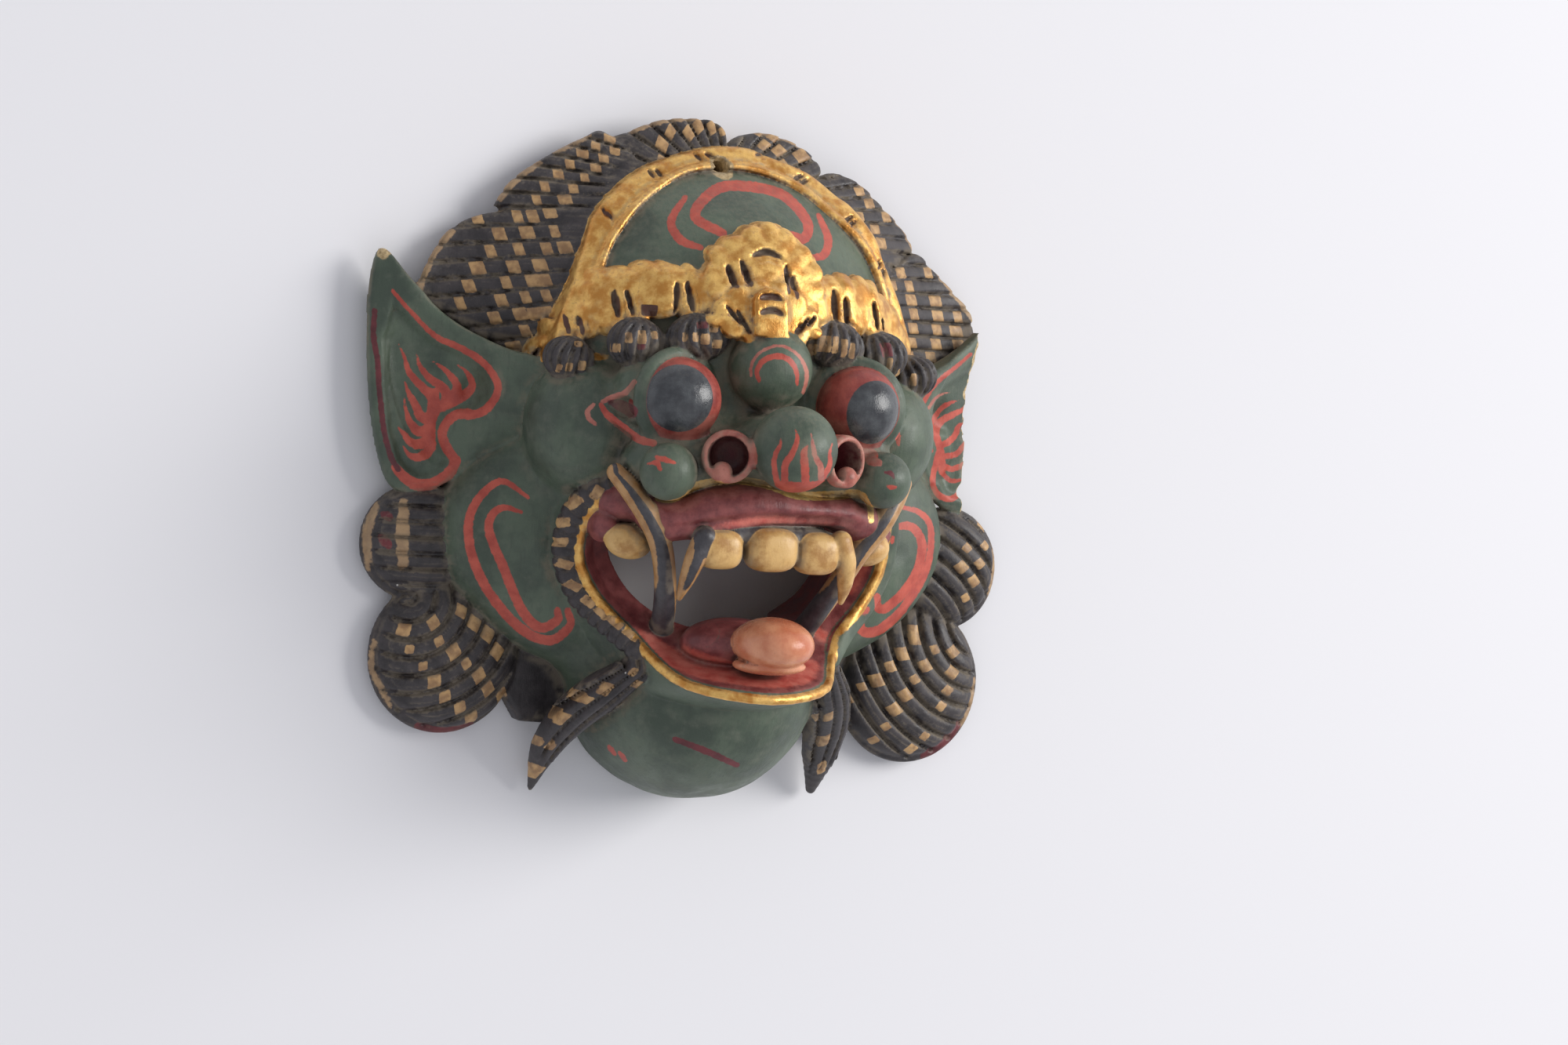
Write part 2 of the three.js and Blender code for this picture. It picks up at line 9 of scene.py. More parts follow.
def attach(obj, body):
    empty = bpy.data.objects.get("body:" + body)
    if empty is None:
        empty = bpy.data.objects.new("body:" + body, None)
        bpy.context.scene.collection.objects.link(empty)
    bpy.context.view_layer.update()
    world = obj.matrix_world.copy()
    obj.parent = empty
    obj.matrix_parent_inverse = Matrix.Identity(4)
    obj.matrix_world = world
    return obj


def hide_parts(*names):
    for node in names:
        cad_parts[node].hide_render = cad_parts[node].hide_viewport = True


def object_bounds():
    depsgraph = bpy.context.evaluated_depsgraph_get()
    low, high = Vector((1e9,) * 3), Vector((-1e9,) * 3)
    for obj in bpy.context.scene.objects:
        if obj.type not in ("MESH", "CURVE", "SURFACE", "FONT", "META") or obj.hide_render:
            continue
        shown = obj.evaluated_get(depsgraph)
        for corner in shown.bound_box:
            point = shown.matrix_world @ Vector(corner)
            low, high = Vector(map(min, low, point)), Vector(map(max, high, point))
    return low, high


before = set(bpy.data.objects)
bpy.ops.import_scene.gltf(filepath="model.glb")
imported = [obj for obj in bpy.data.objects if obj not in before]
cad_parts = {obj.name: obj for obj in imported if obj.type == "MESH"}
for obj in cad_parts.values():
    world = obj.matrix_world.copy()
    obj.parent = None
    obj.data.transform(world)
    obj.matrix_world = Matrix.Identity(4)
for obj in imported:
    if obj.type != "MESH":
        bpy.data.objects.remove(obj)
cad_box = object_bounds()
SHIFT = np.array([0.575, -11.441, 0.0])          # carving frame to part frame, mm
H = 0.6                   # cell size of the field, mm
rng = np.random.default_rng(7)

LO, HI = np.array([-103.5, -90.0, -1.8]), np.array([102.6, 112.8, 96.6])
N = np.ceil((HI - LO) / H).astype(int) + 1
gx, gy, gz = [(LO[i] + H * np.arange(N[i])).astype(np.float32) for i in range(3)]
X2, Y2 = np.meshgrid(gx, gy, indexing="ij")
D = np.full(tuple(N), 9.0, np.float32)
# the same distances kept apart for each kind of surface, so that the paint can tell one from the next
KINDS = ("face", "dark", "gilt", "mouth", "ivory", "tongue", "eye", "tusk", "bare")
layer = {k: np.full(tuple(N), 9.0, np.float32) for k in KINDS}
kind = "dark"


# ------------------------------------------------------------------ helpers
def smin(a, b, k):
    if k <= 0:
        return np.minimum(a, b)
    h = np.clip(0.5 + 0.5 * (b - a) / k, 0, 1)
    return b + (a - b) * h - k * h * (1 - h)


def smax(a, b, k):
    return -smin(-a, -b, k)


def step(x, a, b):
    t = np.clip((x - a) / (b - a), 0, 1)
    return t * t * (3 - 2 * t)


def box(lo, hi, pad=2.5):
    i0 = np.clip(np.floor((np.array(lo) - pad - LO) / H).astype(int), 0, N - 1)
    i1 = np.clip(np.ceil((np.array(hi) + pad - LO) / H).astype(int) + 1, 1, N)
    return tuple(slice(a, b) for a, b in zip(i0, i1))


def cells(s):
    return gx[s[0]][:, None, None], gy[s[1]][None, :, None], gz[s[2]][None, None, :]


def mark(s, v, name=None):
    g = layer[name or kind]
    g[s] = np.minimum(g[s], v)


def add(fn, lo, hi, k=0.0, pad=2.5):
    s = box(lo, hi, pad + k)
    v = fn(*cells(s)).astype(np.float32)
    D[s] = smin(D[s], v, k)
    mark(s, v)


def cut(fn, lo, hi, k=0.0, pad=2.5, name=None):
    s = box(lo, hi, pad + k)
    v = fn(*cells(s)).astype(np.float32)
    D[s] = smax(D[s], -v, k)
    if name:
        mark(s, np.abs(v), name)


def noise2(wave, seed, x=None, y=None):
    """smooth random heights over the XY plane, about -1..1, features of about `wave` mm; same values at any cell size"""
    r = np.random.default_rng(seed)
    n = int(240 / wave) + 6
    g = r.standard_normal((n, n))
    x = X2 if x is None else x
    y = Y2 if y is None else y
    u, v = (x + 115) / wave, (y + 110) / wave
    i, j = np.floor(u).astype(int), np.floor(v).astype(int)
    fu, fv = u - i, v - j
    fu, fv = fu * fu * (3 - 2 * fu), fv * fv * (3 - 2 * fv)
    i, j = np.clip(i, 0, n - 2), np.clip(j, 0, n - 2)
    return ((g[i, j] * (1 - fu) + g[i + 1, j] * fu) * (1 - fv) + (g[i, j + 1] * (1 - fu) + g[i + 1, j + 1] * fu) * fv) * 0.8


def spline(points, per=6, closed=False):
    """points along a Catmull-Rom curve through the given ones"""
    p = np.asarray(points, float)
    n = len(p)
    get = (lambda i: p[i % n]) if closed else (lambda i: p[i] if 0 <= i < n else (2 * p[0] - p[1] if i < 0 else 2 * p[-1] - p[-2]))
    out = []
    for i in range(n if closed else n - 1):
        a, b, c, d = get(i - 1), get(i), get(i + 1), get(i + 2)
        for t in np.arange(per) / per:
            out.append(0.5 * (2 * b + (c - a) * t + (2 * a - 5 * b + 4 * c - d) * t * t + (3 * b - a - 3 * c + d) * t ** 3))
    if not closed:
        out.append(p[-1])
    return np.array(out)


def poly(points, x, y):
    """signed distance to a closed outline, negative inside"""
    p = np.asarray(points, float)
    best = np.full(np.shape(x), 1e9)
    inside = np.zeros(np.shape(x), bool)
    for a, b in zip(p, np.roll(p, -1, 0)):
        e = b - a
        wx, wy = x - a[0], y - a[1]
        t = np.clip((wx * e[0] + wy * e[1]) / max(e @ e, 1e-9), 0, 1)
        best = np.minimum(best, (wx - e[0] * t) ** 2 + (wy - e[1] * t) ** 2)
        if e[1] != 0:
            hit = ((a[1] <= y) != (b[1] <= y)) & (wx < e[0] * wy / e[1])
            inside ^= hit
    d = np.sqrt(best)
    return np.where(inside, -d, d)


def sample(m, x, y):
    """bilinear value of a map over the XY plane"""
    u, v = np.clip((x - LO[0]) / H, 0, N[0] - 1.001), np.clip((y - LO[1]) / H, 0, N[1] - 1.001)
    i, j = u.astype(int), v.astype(int)
    fu, fv = u - i, v - j
    return (m[i, j] * (1 - fu) + m[i + 1, j] * fu) * (1 - fv) + (m[i, j + 1] * (1 - fu) + m[i + 1, j + 1] * fu) * fv


def near_line(points, x, y, radii=0.0):
    """distance to an open line in the plane, less a radius that changes along it; also how far along it, 0..1"""
    p = np.asarray(points, float)
    r = np.interp(np.linspace(0, 1, len(p)), np.linspace(0, 1, np.size(radii)), np.atleast_1d(radii))
    best = np.full(np.shape(x), 1e9)
    along = np.zeros(np.shape(x))
    for i in range(len(p) - 1):
        a, e = p[i], p[i + 1] - p[i]
        wx, wy = x - a[0], y - a[1]
        t = np.clip((wx * e[0] + wy * e[1]) / max(e @ e, 1e-9), 0, 1)
        d = np.hypot(wx - e[0] * t, wy - e[1] * t) - (r[i] + (r[i + 1] - r[i]) * t)
        along = np.where(d < best, (i + t) / (len(p) - 1), along)
        best = np.minimum(best, d)
    return best, along


def rod(points, radii, per=5, flat=1.0, ribs=None):
    """a bar of changing radius along a curve in space, as a distance function; ribs = (count, depth) cuts across it"""
    p = spline(points, per)
    r = np.interp(np.linspace(0, 1, len(p)), np.linspace(0, 1, len(radii)), radii)

    def fn(x, y, z):
        shape = np.broadcast_shapes(np.shape(x), np.shape(y), np.shape(z))
        best, along = np.full(shape, 1e9, np.float32), np.zeros(shape, np.float32)
        for i in range(len(p) - 1):
            a, e = p[i], p[i + 1] - p[i]
            wx, wy, wz = x - a[0], y - a[1], z - a[2]
            t = np.clip((wx * e[0] + wy * e[1] + wz * e[2]) / max(e @ e, 1e-9), 0, 1)
            d = np.sqrt((wx - e[0] * t) ** 2 + (wy - e[1] * t) ** 2 + (wz - e[2] * t) ** 2) - (r[i] + (r[i + 1] - r[i]) * t)
            if ribs:
                along = np.where(d < best, (i + t) / (len(p) - 1), along)
            best = np.minimum(best, d)
        if ribs:
            f = np.mod(along * ribs[0], 1)
            best = best + ribs[1] * np.exp(-((np.minimum(f, 1 - f) / 0.13) ** 2))
        return best
    fn.box = (p.min(0) - max(radii), p.max(0) + max(radii))
    return fn


def put(fn, k=0.0, pad=2.5):
    add(fn, fn.box[0], fn.box[1], k, pad)


def oval(c, r, turn=0.0, tilt=0.0, power=2.0):
    """ellipsoid, turned about Z and then tilted about Y, as a distance function"""
    c, r = np.asarray(c, float), np.asarray(r, float)
    ca, sa, cb, sb = math.cos(turn), math.sin(turn), math.cos(tilt), math.sin(tilt)

    def fn(x, y, z):
        x, y, z = x - c[0], y - c[1], z - c[2]
        x, z = x * cb - z * sb, x * sb + z * cb
        x, y = x * ca + y * sa, -x * sa + y * ca
        if power == 2:
            k0 = np.sqrt((x / r[0]) ** 2 + (y / r[1]) ** 2 + (z / r[2]) ** 2)
            k1 = np.sqrt((x / r[0] ** 2) ** 2 + (y / r[1] ** 2) ** 2 + (z / r[2] ** 2) ** 2)
            return k0 * (k0 - 1) / np.maximum(k1, 1e-6)
        q = (np.abs(x / r[0]) ** power + np.abs(y / r[1]) ** power + np.abs(z / r[2]) ** power) ** (1 / power)
        return (q - 1) * r.min()
    m = r.max() * 1.02
    fn.box = (c - m, c + m)
    fn.c, fn.r = c, r
    return fn


def dome(c, r, p=2.0, grow=0.0):
    """superellipsoid whose plan is an ellipse; p over 2 has a flatter crown"""
    c, r = np.asarray(c, float), np.asarray(r, float) + grow

    def fn(x, y, z):
        ux, uy, w = (x - c[0]) / r[0], (y - c[1]) / r[1], np.abs(z - c[2]) / r[2]
        rho = np.sqrt(ux * ux + uy * uy) + 1e-6
        q = (rho ** p + w ** p) ** (1 / p) + 1e-6
        a, b = (rho / q) ** (p - 1), (w / q) ** (p - 1)
        g = np.sqrt((ux / r[0]) ** 2 + (uy / r[1]) ** 2) / rho
        return (q - 1) / np.sqrt((a * g) ** 2 + (b / r[2]) ** 2 + 1e-9)
    fn.box = (c - r, c + r)
    return fn


def crown(c, r, p=2.0, grow=0.0, x=None, y=None):
    """height of the dome over each point of the plane; NaN-free, falls away outside"""
    x = X2 if x is None else x
    y = Y2 if y is None else y
    r = [v + grow for v in r]
    rho = np.sqrt(((x - c[0]) / r[0]) ** 2 + ((y - c[1]) / r[1]) ** 2)
    return c[2] + np.where(rho < 1, r[2] * (np.maximum(1 - rho ** p, 0)) ** (1 / p), -60 * (rho - 1))


FAR_POINT = (-369.8, 54.0, 971.0)                 # outlines were drawn as seen from here


def lean(x, y, h, level):
    """carry points at height h along the slanting lines from the far point to another level"""
    t = (FAR_POINT[2] - level) / (FAR_POINT[2] - h)
    return FAR_POINT[0] + (x - FAR_POINT[0]) * t, FAR_POINT[1] + (y - FAR_POINT[1]) * t


def under(outline, edge, thick=2.4):
    """underside of a plate: a thin edge that slopes down to the flat back"""
    return np.clip(edge - thick - np.maximum(-outline - 0.6, 0), 0, None)


def relief(outline, top, bottom=0.0, k=1.2):
    """solid under a height map inside an outline, with eased edges"""
    gxx, gyy = np.gradient(top, H)
    w = 1 / np.sqrt(1 + np.minimum(gxx ** 2 + gyy ** 2, 9))
    inside = outline < 3.0
    ii, jj = np.where(inside)
    s = (slice(ii.min(), ii.max() + 1), slice(jj.min(), jj.max() + 1), slice(None))
    o, t, w, z = outline[s[:2]][:, :, None], top[s[:2]][:, :, None], w[s[:2]][:, :, None], gz[None, None, :]
    b = bottom[s[:2]][:, :, None] if np.ndim(bottom) else bottom
    v = smax(o.astype(np.float32), ((z - t) * w).astype(np.float32), k)
    return s, np.maximum(v, (b - z).astype(np.float32))


def put_relief(outline, top, bottom=0.0, k=1.2, blend=0.0):
    s, v = relief(outline, top, bottom, k)
    D[s] = smin(D[s], v.astype(np.float32), blend)
    mark(s, v.astype(np.float32))


# ------------------------------------------------------------------ driving dimensions (mm, carving frame)
FOREHEAD = ((0, 40, 0), (61, 59, 60), 2.0)
JAW = ((0, -10, 0), (79, 46, 34), 3.3)
MIDFACE = ((0, 14, 8), (59, 42, 50), 2.3)
MUZZLE = ((0, 8, 38), (41, 26, 28.5), 2.4)
CHIN = ((0, -47, 8), (38, 41, 49), 2.1)
EYE, EYE_R = (26.9, 30.4, 62.5), 11.6
THIRD, THIRD_R = (0, 40.2, 61.5), 11.8
NOSE, NOSE_R = (0, 18.8, 82.6), 11.9
NOSTRIL, NOSTRIL_R, BORE_R, NOSTRIL_OUT = (18.0, 15.8, 79), 7.4, 5.6, 0.42
CHEEK_BALL, CHEEK_BALL_R = (32.1, 10.7, 71), 8.0
BROWS = [((20.4, 47.8, 57), (9.6, 6.9, 6.8), -12), ((36.8, 45.0, 52.5), (8.6, 7.2, 6.8), 6), ((52.6, 39.6, 41.5), (7.6, 6.4, 6.5), 14)]
RIM = [[46.5, -9, 42], [44.5, -1, 47], [39, 3, 54], [24, 4, 60], [0, 5, 62]]
RIM_LOW = [[45.8, -18, 41], [40, -28, 42], [31.5, -36.8, 46], [26, -44.5, 56], [21, -48.6, 66], [12, -50.4, 74], [0, -51.2, 77.4]]
HOLE = [[35, -12, 34], [34, -6, 36], [27, -2.5, 44], [14, -1.5, 50], [0, -1.5, 53]]
HOLE_LOW = [[34, -17, 34], [29.5, -25, 37], [22.5, -31, 42], [13, -34.5, 46], [6, -36, 49], [3, -36.3, 50], [0, -36.5, 51]]
LIP_TOP = [[-33.3, 0.6], [-27.3, 2.8], [-20.6, 6.6], [-12.1, 8.8], [-0.8, 7.4], [10.5, 5.2], [18.3, 5.0], [24.3, 5.6], [28.9, 2.3], [29.9, -1.4]]
LIP_BOTTOM = [[28.6, -4.9], [23.7, -4.4], [15.3, -3.2], [1.1, -3.7], [-5.9, -4.6], [-15.1, -7.0], [-22, -8.3], [-30, -8.6], [-33.5, -4.5]]
TEETH = [(-15.2, -10.3, 6.4, 5.5), (-0.2, -10.0, 7.6, 6.1), (13.6, -10.7, 6.6, 5.9)]
TEETH_Z = 70
CANINE = [[20.5, -7, 71], [22.6, -13, 70.5], [23.8, -19, 68], [24.4, -24.5, 64.5]]
TUSK = [[21.5, -35, 44], [23.5, -28, 51], [26.5, -19, 58], [30, -10, 62.5], [34.8, -2.5, 65], [39.4, 4.2, 63.2], [43.4, 9.4, 60]]
TONGUE = ((1.4, -36.0, 72), (11.2, 7.4, 13.6))
FRINGE = [[35, 6.5, 52], [42.5, 4, 47], [47.6, -4, 40.5], [48.2, -15.5, 37], [43.6, -26.4, 37.5], [36, -34.6, 42], [29.6, -41.6, 49]]
WHISKER = [[28.5, -46, 47], [34.5, -54, 36], [40, -63, 23], [43.4, -74, 12], [44.4, -86.2, 4.2]]
EAR = [[-98.4, 67.6], [-101.2, 61], [-101.7, 49], [-100.9, 33.6], [-98.9, 18], [-96, 7], [-92.6, 0.6], [-87.5, -1.6],
       [-81, -0.5], [-74, 3], [-60, 4], [-52, 18], [-53, 36], [-57.6, 39.5], [-65.3, 41.3], [-74.2, 45.2], [-83.1, 51.2], [-91, 59.4]]
EAR_BREAK = 85.6
SCOOP = [[95.9, 55.6], [92.5, 51.7], [86.9, 46.5], [82.9, 43.1], [79.7, 41.8], [76.1, 40.1], [72.5, 37.8], [70, 35], [68, 31.5], [67.7, 28.5], [68.8, 25.3], [70.6, 22.8], [73.5, 21.8], [76.6, 21.6],
         [78.8, 18.8], [79.4, 15.7], [77.8, 12.1], [75.6, 9.2], [78, 4.5], [81.4, 2.4], [85.6, 2.2], [89.4, 4.4], [92, 7], [95.5, 15.4], [97.6, 28], [98.6, 42]]
SKULL = [[58, 40], [55, 50], [51, 60], [47.6, 66.8], [46, 72.5], [43, 79.5], [38.5, 85], [34, 90], [28.5, 94.5], [22.6, 97.8], [15, 100.4], [7, 102.3]]
OUTER = [[-50.5, 38], [-48.8, 46], [-46.8, 53], [-44.6, 60.6], [-42.8, 66.9], [-41.6, 72.5], [-39.5, 79.5], [-36.2, 85.2], [-31.7, 90], [-26.8, 94.5], [-19.7, 97.8], [-13.1, 100.3], [-4.3, 102.6], [4.7, 103.5],
         [12.3, 101.8], [20.1, 99.6], [27.9, 96.3], [36, 91.5], [43.3, 86.4], [48.3, 81], [51.9, 74.1], [55.5, 66.5], [59.2, 58.8], [61.8, 51], [63.4, 43], [64, 37]]
BEAD = [[-42.5, 40], [-40.6, 52], [-38.7, 60], [-36.5, 66.6], [-34.4, 72.9], [-31, 78.7], [-27.3, 83.8], [-22.1, 89], [-15.7, 93.6], [-8.4, 96.5], [2, 97.6], [9.6, 97.1], [17.3, 95.2], [25.2, 91.9], [32.4, 87.1],
        [39.7, 81.9], [45.5, 76.2], [49.4, 69.7], [52.6, 62], [55.5, 52], [57.5, 40]]
LEAF = [[-60.5, 38.5], [-57.2, 46.2], [-55.7, 50.7], [-53.8, 51.3], [-50.2, 56.7], [-50, 60.6], [-48.2, 63.8], [-43.6, 66.3], [-41.2, 65.8], [-36, 67.6], [-30.2, 68.9], [-26.5, 67.8],
        [-22.5, 68.3], [-20, 66.6], [-17.1, 69.8], [-16.1, 72.4], [-11.9, 75.7], [-9.4, 76.8], [-5.6, 79], [-1.6, 80.8], [3.4, 81.4], [7.2, 80.1], [12.1, 76], [14.2, 73.9], [16.2, 70.7], [17.5, 67],
        [22.3, 68.4], [27.4, 68], [32.2, 67.9], [37.3, 66.7], [42.1, 62.5], [48.1, 58.9], [52.4, 53.3], [55.5, 47.7], [57, 40],
        [44, 44], [34, 49], [20, 52], [10, 51], [0, 47], [-9, 48.1], [-14, 51], [-28, 52.7], [-40, 47.6], [-53, 43.3]]
TALL = [[-19.5, 62], [-18.2, 67], [-16.1, 72.4], [-11.9, 75.7], [-9.4, 76.8], [-5.6, 79], [-1.6, 80.8], [3.4, 81.4], [7.2, 80.1], [12.1, 76], [14.2, 73.9], [16.2, 70.7], [17.5, 66], [16, 60], [10, 54], [-10, 54], [-16, 57]]
LOW = [[-18.5, 52], [-17, 57], [-13.5, 60.5], [-8.5, 63.5], [-2, 65], [4.5, 64.6], [9, 61.5], [13.5, 57], [15.5, 50.5], [8, 47], [0, 46], [-10, 47.5]]
# slits in the leaf band: x, y, half length, half width, turn from upright (degrees)
SLITS = [(-52.6, 49.1, 3.2, 0.9, 8), (-49.5, 48.9, 3.2, 0.8, 8), (-41.6, 55.6, 4.2, 1.1, 4), (-38.4, 56.2, 4.0, 1.0, 10), (-26.9, 58.5, 4.6, 1.15, -6), (-23.3, 58.8, 4.6, 1.1, 8),
         (-11.4, 65.0, 3.6, 1.5, 12), (-7.4, 66.2, 4.0, 1.5, 14), (4.6, 65.0, 4.4, 1.15, -3), (6.6, 63.0, 3.8, 0.9, 4), (20.0, 58.6, 5.0, 1.6, 2), (23.8, 56.9, 4.6, 1.4, 2), (35.2, 56.6, 4.4, 1.0, 5), (38.0, 54.4, 2.4, 0.6, 5)]
# combed hair plates: outline, comb centre, spacing (mm at the middle radius), top height
HAIR = [
    dict(name="A", pts=[[-50, 40], [-87, 54], [-86.4, 60], [-84, 66], [-79, 73.8], [-69.5, 78.8], [-56, 80.6], [-36, 80]], centre=(330, 112), mid=395, pitch=4.7, phase=0.35, top=8.5),
    dict(name="B", pts=[[-40, 70], [-64, 80.2], [-65.6, 83], [-60.7, 90], [-49.5, 97.8], [-40.3, 102.8], [-33.2, 104.8], [-22, 92]], centre=(26, 88.5), mid=75, pitch=3.7, phase=0.35, top=10),
    dict(name="C", pts=[[-30, 84], [-36, 100], [-27.2, 105.7], [-17, 109.8], [-4.8, 110.8], [0.4, 109.3], [3, 103.8], [2, 88]], centre=(5, 88), mid=23, pitch=3.7, phase=0.5, top=12),
    dict(name="D", pts=[[0, 88], [4.4, 104], [11.3, 107.9], [18.3, 107.8], [28.3, 104], [33.4, 97], [27, 82]], centre=(-5, 86), mid=28, pitch=4.0, phase=0.1, top=11),
    dict(name="E", pts=[[26, 80], [35.3, 97], [45.4, 96.2], [53.3, 90.2], [61.2, 83.2], [65, 76.2], [60, 62]], centre=(-26, 82), mid=78, pitch=3.9, phase=0.4, top=9.5),
    dict(name="F", pts=[[46, 50], [64, 75], [72.9, 71.3], [80.8, 64.4], [86.8, 57.4], [84, 44], [56, 38]], centre=(-330, 52), mid=400, pitch=4.25, phase=0.1, top=8.5),
]
# lobes beside the jaw: centre, radii, comb centre, spacing, phase
LOBES = [
    dict(c=(-82.5, -15.5), r=(17.4, 17.0), centre=(-82, 400), pitch=4.5, phase=0.03, depth=1.3),
    dict(c=(83.2, -18.5), r=(17.4, 18.8), centre=(48, -62), pitch=5.2, phase=0.25, depth=2.0),
    dict(c=(-73.5, -47.8), r=(22.2, 22.6), centre=(-86, -30), pitch=5.15, phase=0.45, depth=1.7),
    dict(c=(73.6, -53.6), r=(23.0, 24.3), centre=(95, -34), pitch=5.15, phase=-0.10, depth=2.2),
]


def comb(centre, pitch, phase, x, y, mid=None):
    """coordinate across the combed locks, in lock widths; fan about the centre, or rings if mid is None"""
    dx, dy = x - centre[0], y - centre[1]
    if mid is None:
        return np.hypot(dx, dy) / pitch + phase
    a = np.arctan2(dy, dx)
    if centre[0] > 0 and mid > 300 or centre[0] > 0 and centre[0] < 100 and mid == 75:
        a = np.mod(a, 2 * np.pi) - np.pi
    return a * mid / pitch + phase


# ------------------------------------------------------------------ rim plates
rough = noise2(3.1, 1) * 0.6 + noise2(7.5, 2)
lobe_maps, hair_maps = [], []
for L in LOBES:
    (cx, cy), (rx, ry) = L["c"], L["r"]
    s = np.sign(cx)
    q = np.sqrt(((X2 - cx) / rx) ** 2 + ((Y2 - cy) / ry) ** 2)
    outline = (q - 1) * min(rx, ry)
    qs = np.sqrt(((X2 - cx + s) / (rx * 0.96)) ** 2 + ((Y2 - cy - 1) / (ry * 0.96)) ** 2)
    top = 6.6 + 7.6 * np.sqrt(np.maximum(1 - qs ** 2, 0)) * 0.98
    v = comb(L["centre"], L["pitch"], L["phase"], X2, Y2)
    f = np.abs(np.mod(v, 1) - 0.5) * 2
    fade = step(-outline, 0.3, 3.4)
    top = top + (0.45 * (1 - f ** 2) - L["depth"] * np.exp(-((1 - f) / 0.26) ** 2)) * fade + 0.12 * rough
    put_relief(outline, top, under(outline, 6.6), 1.6)
    lobe_maps.append(outline)
skull = poly(spline([[-a, b] for a, b in SKULL] + [[0, 103.3]] + SKULL[::-1], 4), X2, Y2)
EDGE_Y, EDGE_Z = [34, 40, 45, 52, 60, 66, 72, 83, 93, 97, 103, 112], [20, 23, 26, 29, 31, 31.5, 30.5, 27, 21, 19.5, 19, 19]
hair_base = []
for P in HAIR:
    span = {"A": 30, "B": 22, "C": 11, "D": 11, "E": 22, "F": 30}[P["name"]]
    base = P["top"] + np.maximum(np.interp(Y2, EDGE_Y, EDGE_Z) - 3 - P["top"], 0) * (1 - np.clip(skull / span, 0, 1)) ** 1.5
    XL, YL = lean(X2, Y2, base, P["top"])
    pts = spline(P["pts"], 4, closed=True)
    outline = poly(pts, XL, YL)
    v = comb(P["centre"], P["pitch"], P["phase"], XL, YL, P["mid"])
    f = np.abs(np.mod(v, 1) - 0.5) * 2
    tilt = np.mod(v, 1) - 0.5
    deep = 1.25 if P["name"] in "AEF" else 1.75
    top = base + 0.3 - 0.5 * tilt - deep * np.exp(-((1 - f) / 0.2) ** 2) - 0.35 * f ** 2 + 0.1 * rough
    put_relief(outline, top, under(outline, P["top"]), 1.5)
    hair_maps.append(outline)
    hair_base.append(base)

plate = poly([[-50, -66.5], [-42, -67], [-36, -68.5], [0, -75], [36, -69], [43, -69.5], [52, -71.5], [64, -50], [64, -20], [-64, -20], [-64, -44]], X2, Y2)
put_relief(plate, np.full(X2.shape, 7.5) + 0.1 * rough, 0.0, 1.2)

# ------------------------------------------------------------------ ears
kind = "face"
ear_out = spline(EAR, 5, closed=True)
ear_left = poly(ear_out, X2, Y2)
ear_right = poly(ear_out * [-1, 1], X2, Y2)
snap = EAR_BREAK + 0.7 * noise2(5.0, 11) + 0.35 * noise2(2.0, 12)


def ear_rise(x, y):
    return 0.5 * (101 - np.abs(x)) * step(y, -8, 34)


def ear_top(ax, y, edge):
    """ear surface over |x|: raised rim, long scoop, deep concha"""
    t = 9.5 + ear_rise(ax, y)
    u, v = (ax - 82 + 0.16 * (y - 31) * -1.0) / 13.5, (y - 31) / 25
    u = (-ax + 82 + 0.16 * (y - 31)) / 13.5
    bowl = np.sqrt(np.maximum(1 - u ** 2 - v ** 2, 0))
    t = t - np.maximum(6.0 * bowl - 1.5, 0) * 0.9
    t = t - 2.4 * step(-poly(SCOOP, ax, y), 0, 3.2) - 4.5 * np.exp(-(((ax - 71.8) / 3.8) ** 2 + ((y - 29.5) / 5.0) ** 2))
    lip = np.exp(-((edge + 2.6) / 2.2) ** 2) * step(y, 2, 30)
    return t + 1.5 * lip * step(-(ax - 99), 0, 20)


for side, edge in ((-1, ear_left), (1, ear_right)):
    ax = np.abs(X2)
    outline = edge if side < 0 else np.maximum(edge, (X2 - snap) * 1.0)
    top = ear_top(ax, Y2, edge) + 0.1 * rough
    bottom = 0.55 * ear_rise(ax, Y2) + under(outline, 9.5, 2.8)
    put_relief(outline, top, bottom, 1.3 if side < 0 else 0.9)

# ------------------------------------------------------------------ skull, jaw and chin
brow_area = poly([[-a, b] for a, b in SKULL] + [[0, 102.5]] + SKULL[::-1] + [[61, 30], [61, -20], [-61, -20], [-61, 30]], X2, Y2)
gauge = (0.10 * noise2(4.2, 3) + 0.16 * noise2(9.0, 4))[:, :, None].astype(np.float32)
whole = (slice(None),) * 3
head = D * 0 + 9.0


def blend_in(fn, k):
    s = box(fn.box[0], fn.box[1], 3 + k)
    head[s] = smin(head[s], fn(*cells(s)).astype(np.float32), k)


blend_in(dome(*JAW), 0)
blend_in(dome(*MIDFACE), 7)
blend_in(dome(*MUZZLE), 5)
blend_in(dome(*CHIN), 6)
for s in (-1, 1):
    blend_in(oval((44.5 * s, 21.5, 34.5), (17, 20, 20)), 3.0)
fore = dome((0, 40, 0), (60, 57, 59), 2.0)
s = box(fore.box[0], fore.box[1], 3)
head[s] = smin(head[s], np.maximum(fore(*cells(s)).astype(np.float32), brow_area[s[:2]][:, :, None].astype(np.float32)), 4.0)
head += gauge
np.minimum(D, head, out=D)
mark((slice(None),) * 3, head)
del head

kind = "gilt"
